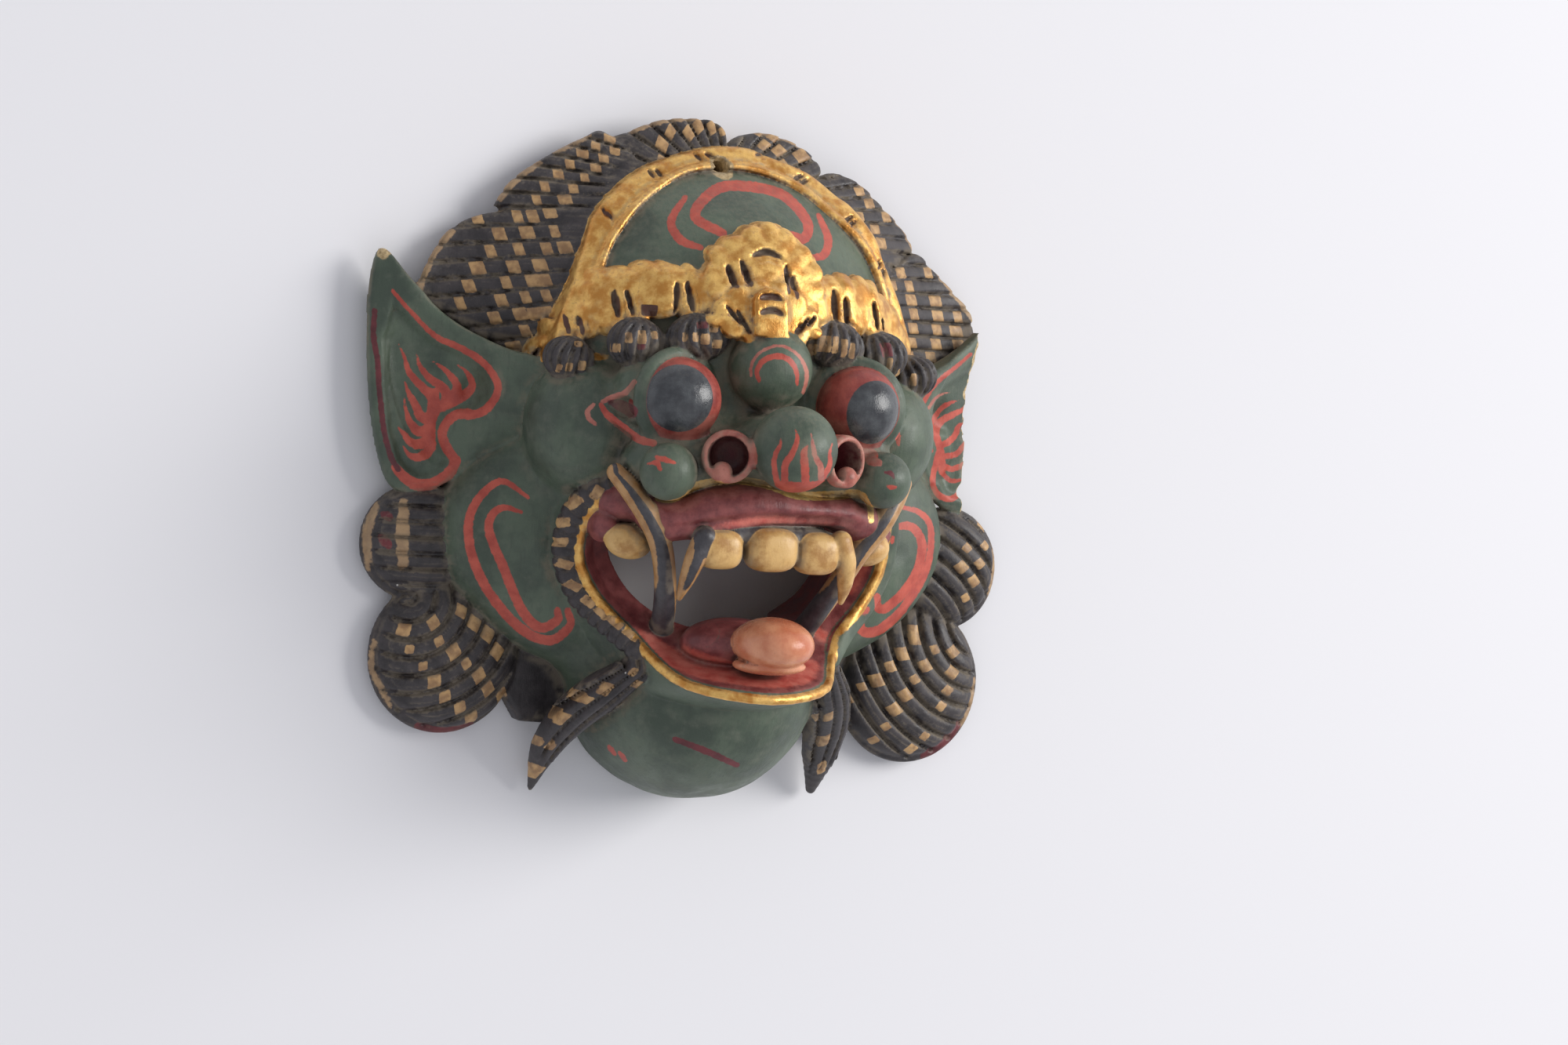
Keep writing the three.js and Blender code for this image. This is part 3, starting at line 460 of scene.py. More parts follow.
# gilt arch: sloping band, groove, rounded bead; green panel inside it
arch_z = np.interp(Y2, [36, 45, 60, 66, 72, 83, 93, 97, 103], [43, 41.5, 38, 37, 34.5, 31, 25, 23.5, 22.5])
outer_line, bead_path = spline(OUTER, 5), spline(BEAD, 5)
band_z = arch_z
for _ in range(2):
    XA, YA = lean(X2, Y2, band_z, 18.0)
    d_out, d_in = -poly(outer_line, XA, YA), -poly(bead_path, XA, YA)
    across = np.clip(d_out / np.maximum(d_out - d_in, 0.5), 0, 1)
    band_z = arch_z - 3.4 * np.where(d_in < 0, 1 - across, 0)
notch = np.zeros_like(X2)
for nx, ny, turn in [(-22.3, 93.4, 50), (-20, 93.8, 52), (-35.8, 81.8, 30), (-33.9, 80.7, 32), (-8.2, 99.3, 60), (-5, 100, 66), (23, 95.6, -62), (24.8, 94.4, -60), (39.5, 84.3, -48), (40.8, 83.0, -45), (49.9, 71.5, -25), (51.6, 69.4, -22), (10.8, 101.6, -75)]:
    a = math.radians(turn)
    u, v = (XA - nx) * math.cos(a) + (YA - ny) * math.sin(a), -(XA - nx) * math.sin(a) + (YA - ny) * math.cos(a)
    notch = np.maximum(notch, np.clip(1 - (u / 0.8) ** 2 - (v / 2.3) ** 2, 0, 1))
_, arch_t = near_line(outer_line, XA, YA)
wave = 1.1 * np.abs(np.sin(arch_t * 40 + 0.5 * noise2(14, 22))) - 0.4 + 0.4 * noise2(4, 21)
band_edge = np.maximum(-d_out + 0.35 * wave, d_in + 1.2)
put_relief(band_edge, band_z - 0.3 * (1 - step(d_out, 0, 1.8)) - 2.0 * notch ** 0.7 + 0.2 * noise2(5.5, 23) + 0.12 * rough, 0.0, 1.2)
bead_line = np.abs(d_in) - 1.35
put_relief(bead_line, arch_z + 1.3 - 0.5 * d_in ** 2, 10.0, 1.2, 0.3)
kind = "face"
put_relief(0.8 - d_in, smin(crown(*FOREHEAD, grow=1.8), arch_z - 0.6 + 0.9 * np.maximum(d_in, 0), 4.0) + 0.12 * rough, 12.0, 0.6, 0.5)
kind = "gilt"

# gilt leaf band in three layers: wide band, tall crown, low front leaf; each edge is scalloped and fluted
def scallops(outline, count, deep, phase=0.0):
    """outline bitten at even steps along its length; gives the new outline and the flute wave for its surface"""
    p = spline(outline, 6, closed=True)
    seg = np.hypot(*(np.roll(p, -1, 0) - p).T)
    u = np.concatenate([[0], np.cumsum(seg)]) / seg.sum()
    even = np.linspace(0, 1, 40 * count // 3, endpoint=False)
    q = np.stack([np.interp(even, u, np.append(p[:, i], p[0, i])) for i in (0, 1)], 1)
    d = poly(q, XQ, YQ)
    _, t = near_line(np.append(q, q[:1], 0), XQ, YQ)
    w = np.abs(np.cos(np.pi * (t * count + phase)))
    return d + deep * (1 - np.sqrt(w)), w


def slits_in(marks):
    m = np.zeros_like(X2)
    for sx, sy, hl, hw, turn in marks:
        a = math.radians(turn)
        u, v = (XQ - sx) * math.cos(a) + (YQ - sy) * math.sin(a), -(XQ - sx) * math.sin(a) + (YQ - sy) * math.cos(a)
        w = 0.8 * hw * np.sqrt(np.clip(1 - (v / hl) ** 2, 1e-4, 1))
        m = np.maximum(m, np.clip(1 - (u / w) ** 2, 0, 1) ** 0.6 * (np.abs(v) < hl) * np.clip(1 - (v / hl) ** 2, 0, 1) ** 0.4)
    return m


ground_z = crown(*FOREHEAD, grow=4.0)
XQ, YQ = X2, Y2
leaf, flute = scallops(LEAF, 44, 1.3, 0.2)
slit = slits_in(SLITS)
puff = 1.0 * np.sin(np.clip(X2, -60, 60) / 11.0 * np.pi + 0.6) ** 2 * step(-leaf, 0.5, 4)
rise = 3.6 + 1.0 * step(-leaf, 0.2, 3.0)
flutes = 0.9 * (flute - 0.7) * np.exp(leaf / 3.2)
put_relief(leaf, crown(*FOREHEAD, grow=rise) + puff + flutes - 2.6 * slit + 0.15 * rough, np.maximum(crown(*FOREHEAD, grow=rise) - 7, 12.0), 1.1)
XQ, YQ = lean(X2, Y2, crown(*FOREHEAD, grow=6.0), ground_z)
tall, tall_w = scallops(TALL, 15, 1.5, 0.4)
slit_t = slits_in(SLITS)
smile = np.clip(1 - (((YQ - 72.5 + 0.075 * (XQ + 0.6) ** 2) / 1.0) ** 2) - ((XQ + 0.6) / 5.0) ** 2, 0, 1) ** 0.6
put_relief(tall, crown(*FOREHEAD, grow=6.0) + 0.9 * np.exp(-((X2 + 2) / 9.0) ** 2) + 0.8 * (tall_w - 0.7) * np.exp(tall / 3.0) - 2.8 * slit_t - 2.4 * smile + 0.15 * rough, 14.0, 1.2)
XQ, YQ = lean(X2, Y2, crown(*FOREHEAD, grow=7.4), ground_z)
low, low_w = scallops(LOW, 12, 1.5, 0.0)
rib = slits_in([(-11.4, 54.4, 3.4, 0.8, 38), (-8.6, 52.6, 3.9, 0.9, 30), (6.9, 50.6, 3.2, 0.8, -30), (9.2, 52.6, 3.0, 0.8, -36), (11.6, 53.8, 2.2, 0.6, -40)])
put_relief(low, crown(*FOREHEAD, grow=7.4) + 0.9 * (low_w - 0.7) * np.exp(low / 2.6) - 2.6 * rib + 0.12 * rough, 14.0, 1.2)
XQ, YQ = lean(X2, Y2, crown(*FOREHEAD, grow=10.6), ground_z)
bx, by = XQ + 0.3, YQ - 55.0
boss = np.where(by > 2.6, np.sqrt(bx ** 2 + (by - 2.6) ** 2) - 5.0, np.maximum(np.abs(bx) - 5.0, -by - 6.0))
moon = np.zeros_like(X2)
for my in (60.3, 56.3):
    moon = np.maximum(moon, np.clip(1 - ((YQ - my + 0.07 * bx ** 2) / 1.0) ** 2 - (bx / 3.7) ** 4, 0, 1) ** 0.6)
put_relief(boss, crown(*FOREHEAD, grow=10.6) - 0.4 - 1.6 * moon + 0.05 * rough, 16.0, 0.9)
slit_all = np.maximum(np.maximum(np.where(tall < 0, slit_t, slit), smile), np.maximum(rib, moon))

# ------------------------------------------------------------------ eyes, nose, brows
def ring(c, R, r, tilt):
    n = np.array([math.sin(tilt), 0, math.cos(tilt)])

    def fn(x, y, z):
        x, y, z = x - c[0], y - c[1], z - c[2]
        h = x * n[0] + z * n[2]
        q = np.sqrt(np.maximum(x * x + y * y + z * z - h * h, 0))
        return np.sqrt((q - R) ** 2 + h * h) - r
    fn.box = (np.array(c) - R - r, np.array(c) + R + r)
    return fn


for s in (-1, 1):
    kind = "face"
    put(oval((27.9 * s, 30.4, 52.5), (15, 14, 11)), 3.0)
    # the lids run out to a point beside the temple, with a hollow between them
    put(rod([[36 * s, 36.5, 59], [41.5 * s, 31.6, 56.6], [46.6 * s, 28.0, 51.8]], [1.5, 1.3, 0.8]), 1.4)
    put(rod([[35 * s, 20.0, 61], [40.5 * s, 22.6, 57.0], [46.6 * s, 27.4, 51.8]], [1.7, 1.5, 0.8]), 1.4)
    cut(oval((41.2 * s, 27.3, 57.4), (4.2, 3.0, 2.6)), (41.2 * s - 5, 22, 52), (41.2 * s + 5, 32, 62), 0.8)
    put(ring((EYE[0] * s, EYE[1], EYE[2] - 2.5), EYE_R + 0.6, 2.4, -0.32 * s), 1.0)
    kind = "eye"
    put(oval((EYE[0] * s, EYE[1], EYE[2]), (EYE_R,) * 3), 0.3)
kind = "face"
put(oval((0, 34, 50), (13, 16, 12)), 3.0)
put(oval(THIRD, (THIRD_R,) * 3), 1.0)
put(oval((0, 18, 66), (13, 9.5, 13)), 4.0)
put(oval(NOSE, (NOSE_R,) * 3), 1.5)


def curl(c, r, turn, s):
    """shell-shaped brow curl with ribs that run from pole to pole"""
    base = oval((c[0] * s, c[1], c[2]), r, math.radians(turn) * s)
    a = math.radians(turn) * s

    def fn(x, y, z):
        d = base(x, y, z)
        u = ((x - c[0] * s) * math.cos(a) + (y - c[1]) * math.sin(a)) / r[0]
        v = (-(x - c[0] * s) * math.sin(a) + (y - c[1]) * math.cos(a)) / r[1]
        lon = np.arctan2(u + 0.25 * s * (v * v - 0.3), np.maximum((z - c[2]) / r[2], -0.2) + 0.15) / np.pi
        t = np.mod(lon * 8.0 + 0.3, 1)
        g = np.minimum(t, 1 - t)
        fade = step(-np.abs(v), -0.98, -0.55) * step((z - c[2]) / r[2], -0.3, 0.1)
        return d + (1.35 * np.exp(-((g / 0.17) ** 2)) - 0.25 * g) * fade
    fn.box = base.box
    return fn


kind = "dark"
for c, r, turn in BROWS:
    for s in (-1, 1):
        put(curl(c, r, turn, s), 0.6)
kind = "face"
for s in (-1, 1):
    n = np.array([math.sin(NOSTRIL_OUT) * s, 0, math.cos(NOSTRIL_OUT)])
    c = np.array([NOSTRIL[0] * s, NOSTRIL[1], NOSTRIL[2]])

    def tube(x, y, z, n=n, c=c):
        x, y, z = x - c[0], y - c[1], z - c[2]
        h = x * n[0] + z * n[2]
        q = np.sqrt(np.maximum(x * x + y * y + z * z - h * h, 0))
        r = NOSTRIL_R - 0.6 * step(-h, 2, 14)
        return smax(q - r, h, 1.6)
    add(tube, c - [12, 9, 28], c + [12, 9, 6], 1.5)
    put(oval((24 * s, 12.5, 59), (17, 9.5, 12)), 4.0)
    put(oval((CHEEK_BALL[0] * s, CHEEK_BALL[1], CHEEK_BALL[2]), (CHEEK_BALL_R,) * 3), 1.2)

# ------------------------------------------------------------------ jaw rim, fringe, whiskers
def loop(right, low):
    r, l = [list(p) for p in right], [list(p) for p in low]
    top = r + [[-p[0], p[1], p[2]] for p in r[:-1][::-1]]
    bottom = [[-p[0], p[1], p[2]] for p in l] + l[:-1][::-1]
    return spline(top + bottom, 8, closed=True)


MID = np.array([0, -20.0])
rim_curve, hole_curve = loop(RIM, RIM_LOW), loop(HOLE, HOLE_LOW)


def polar(curve):
    a = np.arctan2(curve[:, 1] - MID[1], curve[:, 0] - MID[0])
    o = np.argsort(a)
    return a[o], np.hypot(curve[:, 0] - MID[0], curve[:, 1] - MID[1])[o], curve[:, 2][o]


ra, rr, rz = polar(rim_curve)
ha, hr, hz = polar(hole_curve)
A2, R2 = np.arctan2(Y2 - MID[1], X2 - MID[0]), np.hypot(X2 - MID[0], Y2 - MID[1])
around = lambda a, xs, v: np.interp(a, np.concatenate([xs - 2 * np.pi, xs, xs + 2 * np.pi]), np.tile(v, 3))
RR, RZ = around(A2, ra, rr), around(A2, ra, rz)
HR, HZ = around(A2, ha, hr), around(A2, ha, hz)
out = R2 - RR
jaw_top = np.where(out < 0, RZ, np.where(out < 1.6, RZ - 3 * out / 1.6,
          np.where(out < 4.2, RZ - 3 + (0.82 * RZ - RZ + 3) * (out - 1.6) / 2.6,
          np.where(out < 7.5, 0.82 * RZ + (0.6 - 0.82) * RZ * (out - 4.2) / 3.3, 0.6 * RZ - (out - 7.5) * 5))))
put_relief(out - 7.6, np.maximum(jaw_top, 4), 0.0, 1.5)
kind = "dark"
for s in (-1, 1):
    flip = np.array([s, 1, 1])
    if s < 0:
        put(rod(np.array(FRINGE) * flip, [2.6, 4.2, 4.6, 4.6, 4.4, 3.8, 3], per=8, ribs=(20, 0.9)), 0.5)
    else:
        kind = "face"
        put(rod(np.array(FRINGE) * flip, [2.2, 3.4, 3.8, 3.8, 3.6, 3.2, 2.6], per=8), 4.0)
        kind = "dark"

    def whisker(x, y, z, base=rod(np.array(WHISKER) * flip, [4.2, 6, 6, 4.4, 0.9] if s < 0 else [4.4, 6.4, 7.0, 5.4, 1.6]), s=s):
        line = spline(np.array(WHISKER) * [s, 1, 1], 6)
        cx = np.interp(-y, -line[:, 1], line[:, 0])
        w = np.interp(-y, [46, 54, 63, 74, 86.2], [4.2, 6, 6, 4.4, 1.2])
        f = np.mod((x - cx) / w * 1.55 + 0.5, 1)
        return base(x, y, z) + (1.5 * np.exp(-((np.minimum(f, 1 - f) / 0.16) ** 2)) - 0.2) * step(w, 1.5, 4.5)
    b = np.array(WHISKER) * flip
    add(whisker, b.min(0) - 6, b.max(0) + 6, 0.4)

# ------------------------------------------------------------------ flat back, hollow, mouth
Z3 = gz[None, None, :]
np.maximum(D, -Z3, out=D)
mark((slice(None),) * 3, np.abs(Z3 + np.float32(0.2)), "bare")
inside = np.full(tuple(N), 9.0, np.float32)
for c, r, p in [((0, 38, -4), (48, 44, 50), 2.0), ((0, -8, -6), (62, 34, 30), 3.0), ((0, 10, -4), (49, 34, 52), 2.2), ((0, 8, 30), (27, 17, 29), 2.2), ((0, -42, -6), (27, 32, 42), 2.2)]:
    fn = dome(c, r, p)
    s = box(fn.box[0], fn.box[1], 4)
    inside[s] = smin(inside[s], fn(*cells(s)).astype(np.float32), 3.0)
gouge = (0.35 * np.abs(np.sin((X2 + 6 * noise2(22, 31)) / 2.6)) + 0.2 * noise2(6, 32))[:, :, None].astype(np.float32)
np.maximum(D, -(inside + gouge), out=D)
mark((slice(None),) * 3, np.abs(inside + gouge), "bare")
del inside

d_out = R2 - (RR - 2.2)                          # inside the rim
t = np.clip((RR - 2.2 - R2) / np.maximum(RR - 2.2 - HR, 1), 0, 1)
mid_t = 0.40
funnel = np.where(t < mid_t, RZ + (0.62 * (HZ - RZ)) * (t / mid_t), RZ + 0.62 * (HZ - RZ) + 0.38 * (HZ - RZ) * (t - mid_t) / (1 - mid_t))
funnel = funnel + 0.12 * rough
fgx, fgy = np.gradient(funnel, H)
fw = 1 / np.sqrt(1 + np.minimum(fgx ** 2 + fgy ** 2, 16))
s = box((-50, -54, 0), (50, 10, 96), 2)
v = np.maximum(d_out[s[:2]][:, :, None], ((funnel[:, :, None][s[:2]] - gz[None, None, s[2]]) * fw[s[:2]][:, :, None]))
v = np.minimum(v, (R2 - HR)[s[:2]][:, :, None])
D[s] = smax(D[s], -v.astype(np.float32), 0.8)
mark(s, np.abs(v).astype(np.float32), "mouth")
# gilt bead along the rim
kind = "gilt"
bead = rod(np.concatenate([rim_curve[::4], rim_curve[:1]]) + [0, 0, 0.1], [1.35], per=1)
put(bead, 0.3)

for s in (-1, 1):
    n = np.array([math.sin(NOSTRIL_OUT) * s, 0, math.cos(NOSTRIL_OUT)])
    c = np.array([NOSTRIL[0] * s, NOSTRIL[1], NOSTRIL[2]])

    def bore(x, y, z, n=n, c=c):
        x, y, z = x - c[0], y - c[1], z - c[2]
        h = x * n[0] + z * n[2]
        q = np.sqrt(np.maximum(x * x + y * y + z * z - h * h, 0))
        return smax(q - (BORE_R + 0.06 * h), -h - 12, 2.5)
    cut(bore, c - [12, 8, 16], c + [12, 8, 8], 0.9)
    kind = "face"
    put(oval((18.6 * s, 11.4, 76.6), (2.9, 3.0, 3.2)), 0.6)

# ------------------------------------------------------------------ upper lip, teeth, tusks, tongue
kind = "mouth"
lip = poly(spline(LIP_TOP + LIP_BOTTOM, 5, closed=True), X2, Y2)
lip_mid = np.interp(X2, [-33, -20, -5, 15, 30], [-3.2, -1.0, 1.2, 1.2, -0.4])
roll = 1 - np.clip((Y2 - lip_mid) / 8.0, -1, 1) ** 2
lip_top = 72.6 - 0.0045 * X2 ** 2 + 1.6 * roll - 3.6 * np.exp(lip / 2.2) + 0.15 * rough - 1.3 * np.exp(-((Y2 - lip_mid + 2.2) / 1.4) ** 2)
put_relief(lip, lip_top, 48.0, 2.2)
put(oval((0, 3, 55), (30, 8, 12)), 2.0)
for s in (-1, 1):
    # full corners of the lip, joined to the rim and to the roof of the mouth
    put(oval((29.5 * s, -2.0, 60.5), (7.5, 5.6, 8.0)), 3.0)
    put(oval((35.5 * s, 0.5, 50), (8.5, 5.5, 8.5)), 2.5)
kind = "ivory"
for x, y, w, h in TEETH:
    put(oval((x, y, TEETH_Z - 0.004 * x * x), (w, h, 5.2), power=2.9), 0.0)
kind = "tusk"
put(oval((-1, -6.3, 64.5), (24, 4.4, 8), -0.035), 0.8)
for s in (-1, 1):
    flip = np.array([s, 1, 1])
    kind = "ivory" if s > 0 else "tusk"
    put(rod(np.array(CANINE) * flip, [3.2, 3.0, 2.2, 0.9]), 0.3)
    kind = "ivory"
    put(oval((36.2 * s, -10, 53), (6.8, 5.0, 6.5), 0.17 * s), 0.3)
    kind = "mouth"
    put(oval((41.5 * s, -6, 46), (4, 5, 8)), 0.6)
    kind = "tusk"
    put(rod(np.array(TUSK) * flip, [3.4, 3.2, 3.1, 3.2, 3.2, 3.1, 2.6]), 0.3)
kind = "mouth"
put(oval((-4, -37.5, 55), (15, 7.0, 12.0)), 2.5)
kind = "tongue"
put(oval((1.2, -42.2, 70.5), (10.5, 2.6, 9.0)), 0.4)
put(oval(*TONGUE), 0.5)

# hanging hole, chipped at its mouth
hn = np.array([0, math.sin(0.25), math.cos(0.25)])
hn = np.array([0, 0.2474, 0.9689])


def nail(x, y, z):
    x, y, z = x + 3.6, y - 96.6, z - 20
    h = y * hn[1] + z * hn[2]
    q = np.sqrt(np.maximum(x * x + y * y + z * z - h * h, 0))
    return q - (1.9 + 1.3 * np.exp(-np.abs(z - 3) / 2.0) * (0.6 + 0.4 * np.sin(3 * np.arctan2(x, y) + 1)))


cut(nail, (-8, 88, -1), (2, 106, 40), 0.3, name="bare")
np.maximum(D, -Z3, out=D)

# ------------------------------------------------------------------ surface
def surface(field):
    band = 3 * H
    g = openvdb.FloatGrid(band)
    g.copyFromArray(np.clip(field, -band, band))
    pts, tris, quads = g.convertToPolygons(isovalue=0.0, adaptivity=0.0)
    return pts * H + LO, quads


pts, quads = surface(D)
print("surface", len(pts), "points", len(quads), "quads")

# ===== paint
def keep_body(n, q):
    """drop loose specks: keep the quads of the largest connected piece"""
    lab = np.arange(n)
    while True:
        new = lab.copy()
        np.minimum.at(new, q.ravel(), np.repeat(lab[q].min(1), 4))
        new = new[new]
        if (new == lab).all():
            break
        lab = new
    ids, count = np.unique(lab[q[:, 0]], return_counts=True)
    return q[lab[q[:, 0]] == ids[count.argmax()]]


def field_at(g, p):
    """trilinear value of a grid at points"""
    u = np.clip((p - LO) / H, 0, N - 1.001)
    i = u.astype(int)
    f = u - i
    out = 0
    for dx in (0, 1):
        for dy in (0, 1):
            for dz in (0, 1):
                w = (f[:, 0] if dx else 1 - f[:, 0]) * (f[:, 1] if dy else 1 - f[:, 1]) * (f[:, 2] if dz else 1 - f[:, 2])
                out = out + w * g[i[:, 0] + dx, i[:, 1] + dy, i[:, 2] + dz]
    return out


def normals_of(p, t):
    n = np.cross(p[t[:, 1]] - p[t[:, 0]], p[t[:, 2]] - p[t[:, 0]])
    out = np.zeros_like(p)
    for i in range(3):
        for a in range(3):
            out[:, a] += np.bincount(t[:, i], n[:, a], minlength=len(p))
    return out / np.maximum(np.linalg.norm(out, axis=1), 1e-12)[:, None]


quads = keep_body(len(pts), quads)
pts = pts.astype(float)
# two triangles for each quad, split along the shorter diagonal
d0 = np.linalg.norm(pts[quads[:, 0]] - pts[quads[:, 2]], axis=1)
d1 = np.linalg.norm(pts[quads[:, 1]] - pts[quads[:, 3]], axis=1)
a, b = quads[d0 <= d1], quads[d0 > d1]
tris = np.concatenate([a[:, [0, 1, 2]], a[:, [0, 2, 3]], b[:, [1, 2, 3]], b[:, [1, 3, 0]]])
area = np.cross(pts[tris[:, 1]] - pts[tris[:, 0]], pts[tris[:, 2]] - pts[tris[:, 0]])
centre = pts[tris].mean(1)
if (area * centre).sum() < 0:
    tris = tris[:, ::-1]
nrm = normals_of(pts, tris)
# coarser cells on the hidden back and in the hollow
plain = (np.abs(field_at(layer["bare"], pts)) < 0.5) & ((nrm[:, 2] < 0.1) | (field_at(layer["mouth"], pts) > 3)) & (nrm[:, 2] < 0.4)
cell = 2.6 * H
key = np.floor((pts + [200, 200, 200.3]) / cell).astype(np.int64)
sign = ((nrm > 0) * [1, 2, 4]).sum(1)
code = ((key[:, 0] * 512 + key[:, 1]) * 512 + key[:, 2]) * 8 + sign
code = np.where(plain, code, -1 - np.arange(len(pts)))
_, group = np.unique(code, return_inverse=True)
count = np.bincount(group)
P = np.stack([np.bincount(group, pts[:, i]) / count for i in range(3)], 1)
tris = group[tris]
tris = tris[(tris[:, 0] != tris[:, 1]) & (tris[:, 1] != tris[:, 2]) & (tris[:, 0] != tris[:, 2])]
_, first = np.unique(np.sort(tris, 1), axis=0, return_index=True)
tris = tris[np.sort(first)]
cad_lo, cad_hi = np.array(cad_box[0]) * 1000 - SHIFT, np.array(cad_box[1]) * 1000 - SHIFT
P = np.clip(P, cad_lo + 0.01, cad_hi - 0.01)
NV = normals_of(P, tris)
x, y, z = P.T
up = NV[:, 2]
print("mesh", len(P), "points", len(tris), "triangles")

# ------------------------------------------------------------------ what each point is made of
own = {k: np.abs(field_at(layer[k], P)) for k in KINDS}
stack = np.stack([own[k] for k in KINDS])
low2 = np.sort(stack, 0)[:2]
region = {k: own[k] - np.where(own[k] == low2[0], low2[1], low2[0]) for k in KINDS}
del layer


SX, SY = lean(x, y, z, 30.0)


def drawn(points, radii, per=5, reach=9.0):
    """distance from each point of the surface to a stroke, both carried to one level; only near the stroke's own height"""
    p = spline(points, per)
    r = np.interp(np.linspace(0, 1, len(p)), np.linspace(0, 1, len(radii)), radii)
    px_, py_ = lean(p[:, 0], p[:, 1], p[:, 2], 30.0)
    q = np.stack([px_, py_], 1)
    lo, hi = q.min(0) - max(radii) - 4, q.max(0) + max(radii) + 4
    sel = np.where((SX > lo[0]) & (SX < hi[0]) & (SY > lo[1]) & (SY < hi[1]) & (z > p[:, 2].min() - reach) & (z < p[:, 2].max() + reach))[0]
    d, along = near_line(q, SX[sel], SY[sel])
    width = np.interp(along, np.linspace(0, 1, len(r)), r)
    own_z = np.interp(along, np.linspace(0, 1, len(r)), p[:, 2])
    out = np.full(len(P), 4.0)
    out[sel] = d - width + np.maximum(np.abs(z[sel] - own_z) - reach, 0)
    return out


def along_line(points, radii, per=5, flat=0.75):
    """distance from each point of the surface to a painted stroke, negative inside it"""
    p = spline(points, per)
    r = np.interp(np.linspace(0, 1, len(p)), np.linspace(0, 1, len(radii)), radii)
    lo, hi = p.min(0) - max(radii) - 4, p.max(0) + max(radii) + 4
    sel = np.where(((P > lo) & (P < hi)).all(1))[0]
    out = np.full(len(P), 4.0)
    q = P[sel]
    best = np.full(len(sel), 4.0)
    w = np.array([1, 1, flat])
    for i in range(len(p) - 1):
        a, e = p[i] * w, (p[i + 1] - p[i]) * w
        d = q * w - a
        t = np.clip(d @ e / max(e @ e, 1e-9), 0, 1)
        best = np.minimum(best, np.linalg.norm(d - t[:, None] * e, axis=1) - (r[i] + (r[i + 1] - r[i]) * t))
    out[sel] = best
    return out


def patch(c, turn, half_u, half_v, lean=0.25, flat=0.45):
    """small painted block: a leaning square with eased corners"""
    a = math.radians(turn)
    dx, dy, dz = x - c[0], y - c[1], z - c[2]
    u, v = dx * math.cos(a) + dy * math.sin(a), -dx * math.sin(a) + dy * math.cos(a)
    u = u + lean * v
    e = np.stack([np.abs(u) - half_u, np.abs(v) - half_v, np.abs(dz) * flat - 1.6])
    return np.linalg.norm(np.maximum(e + 0.35, 0), axis=0) - 0.35 + np.minimum(e.max(0) + 0.35, 0)


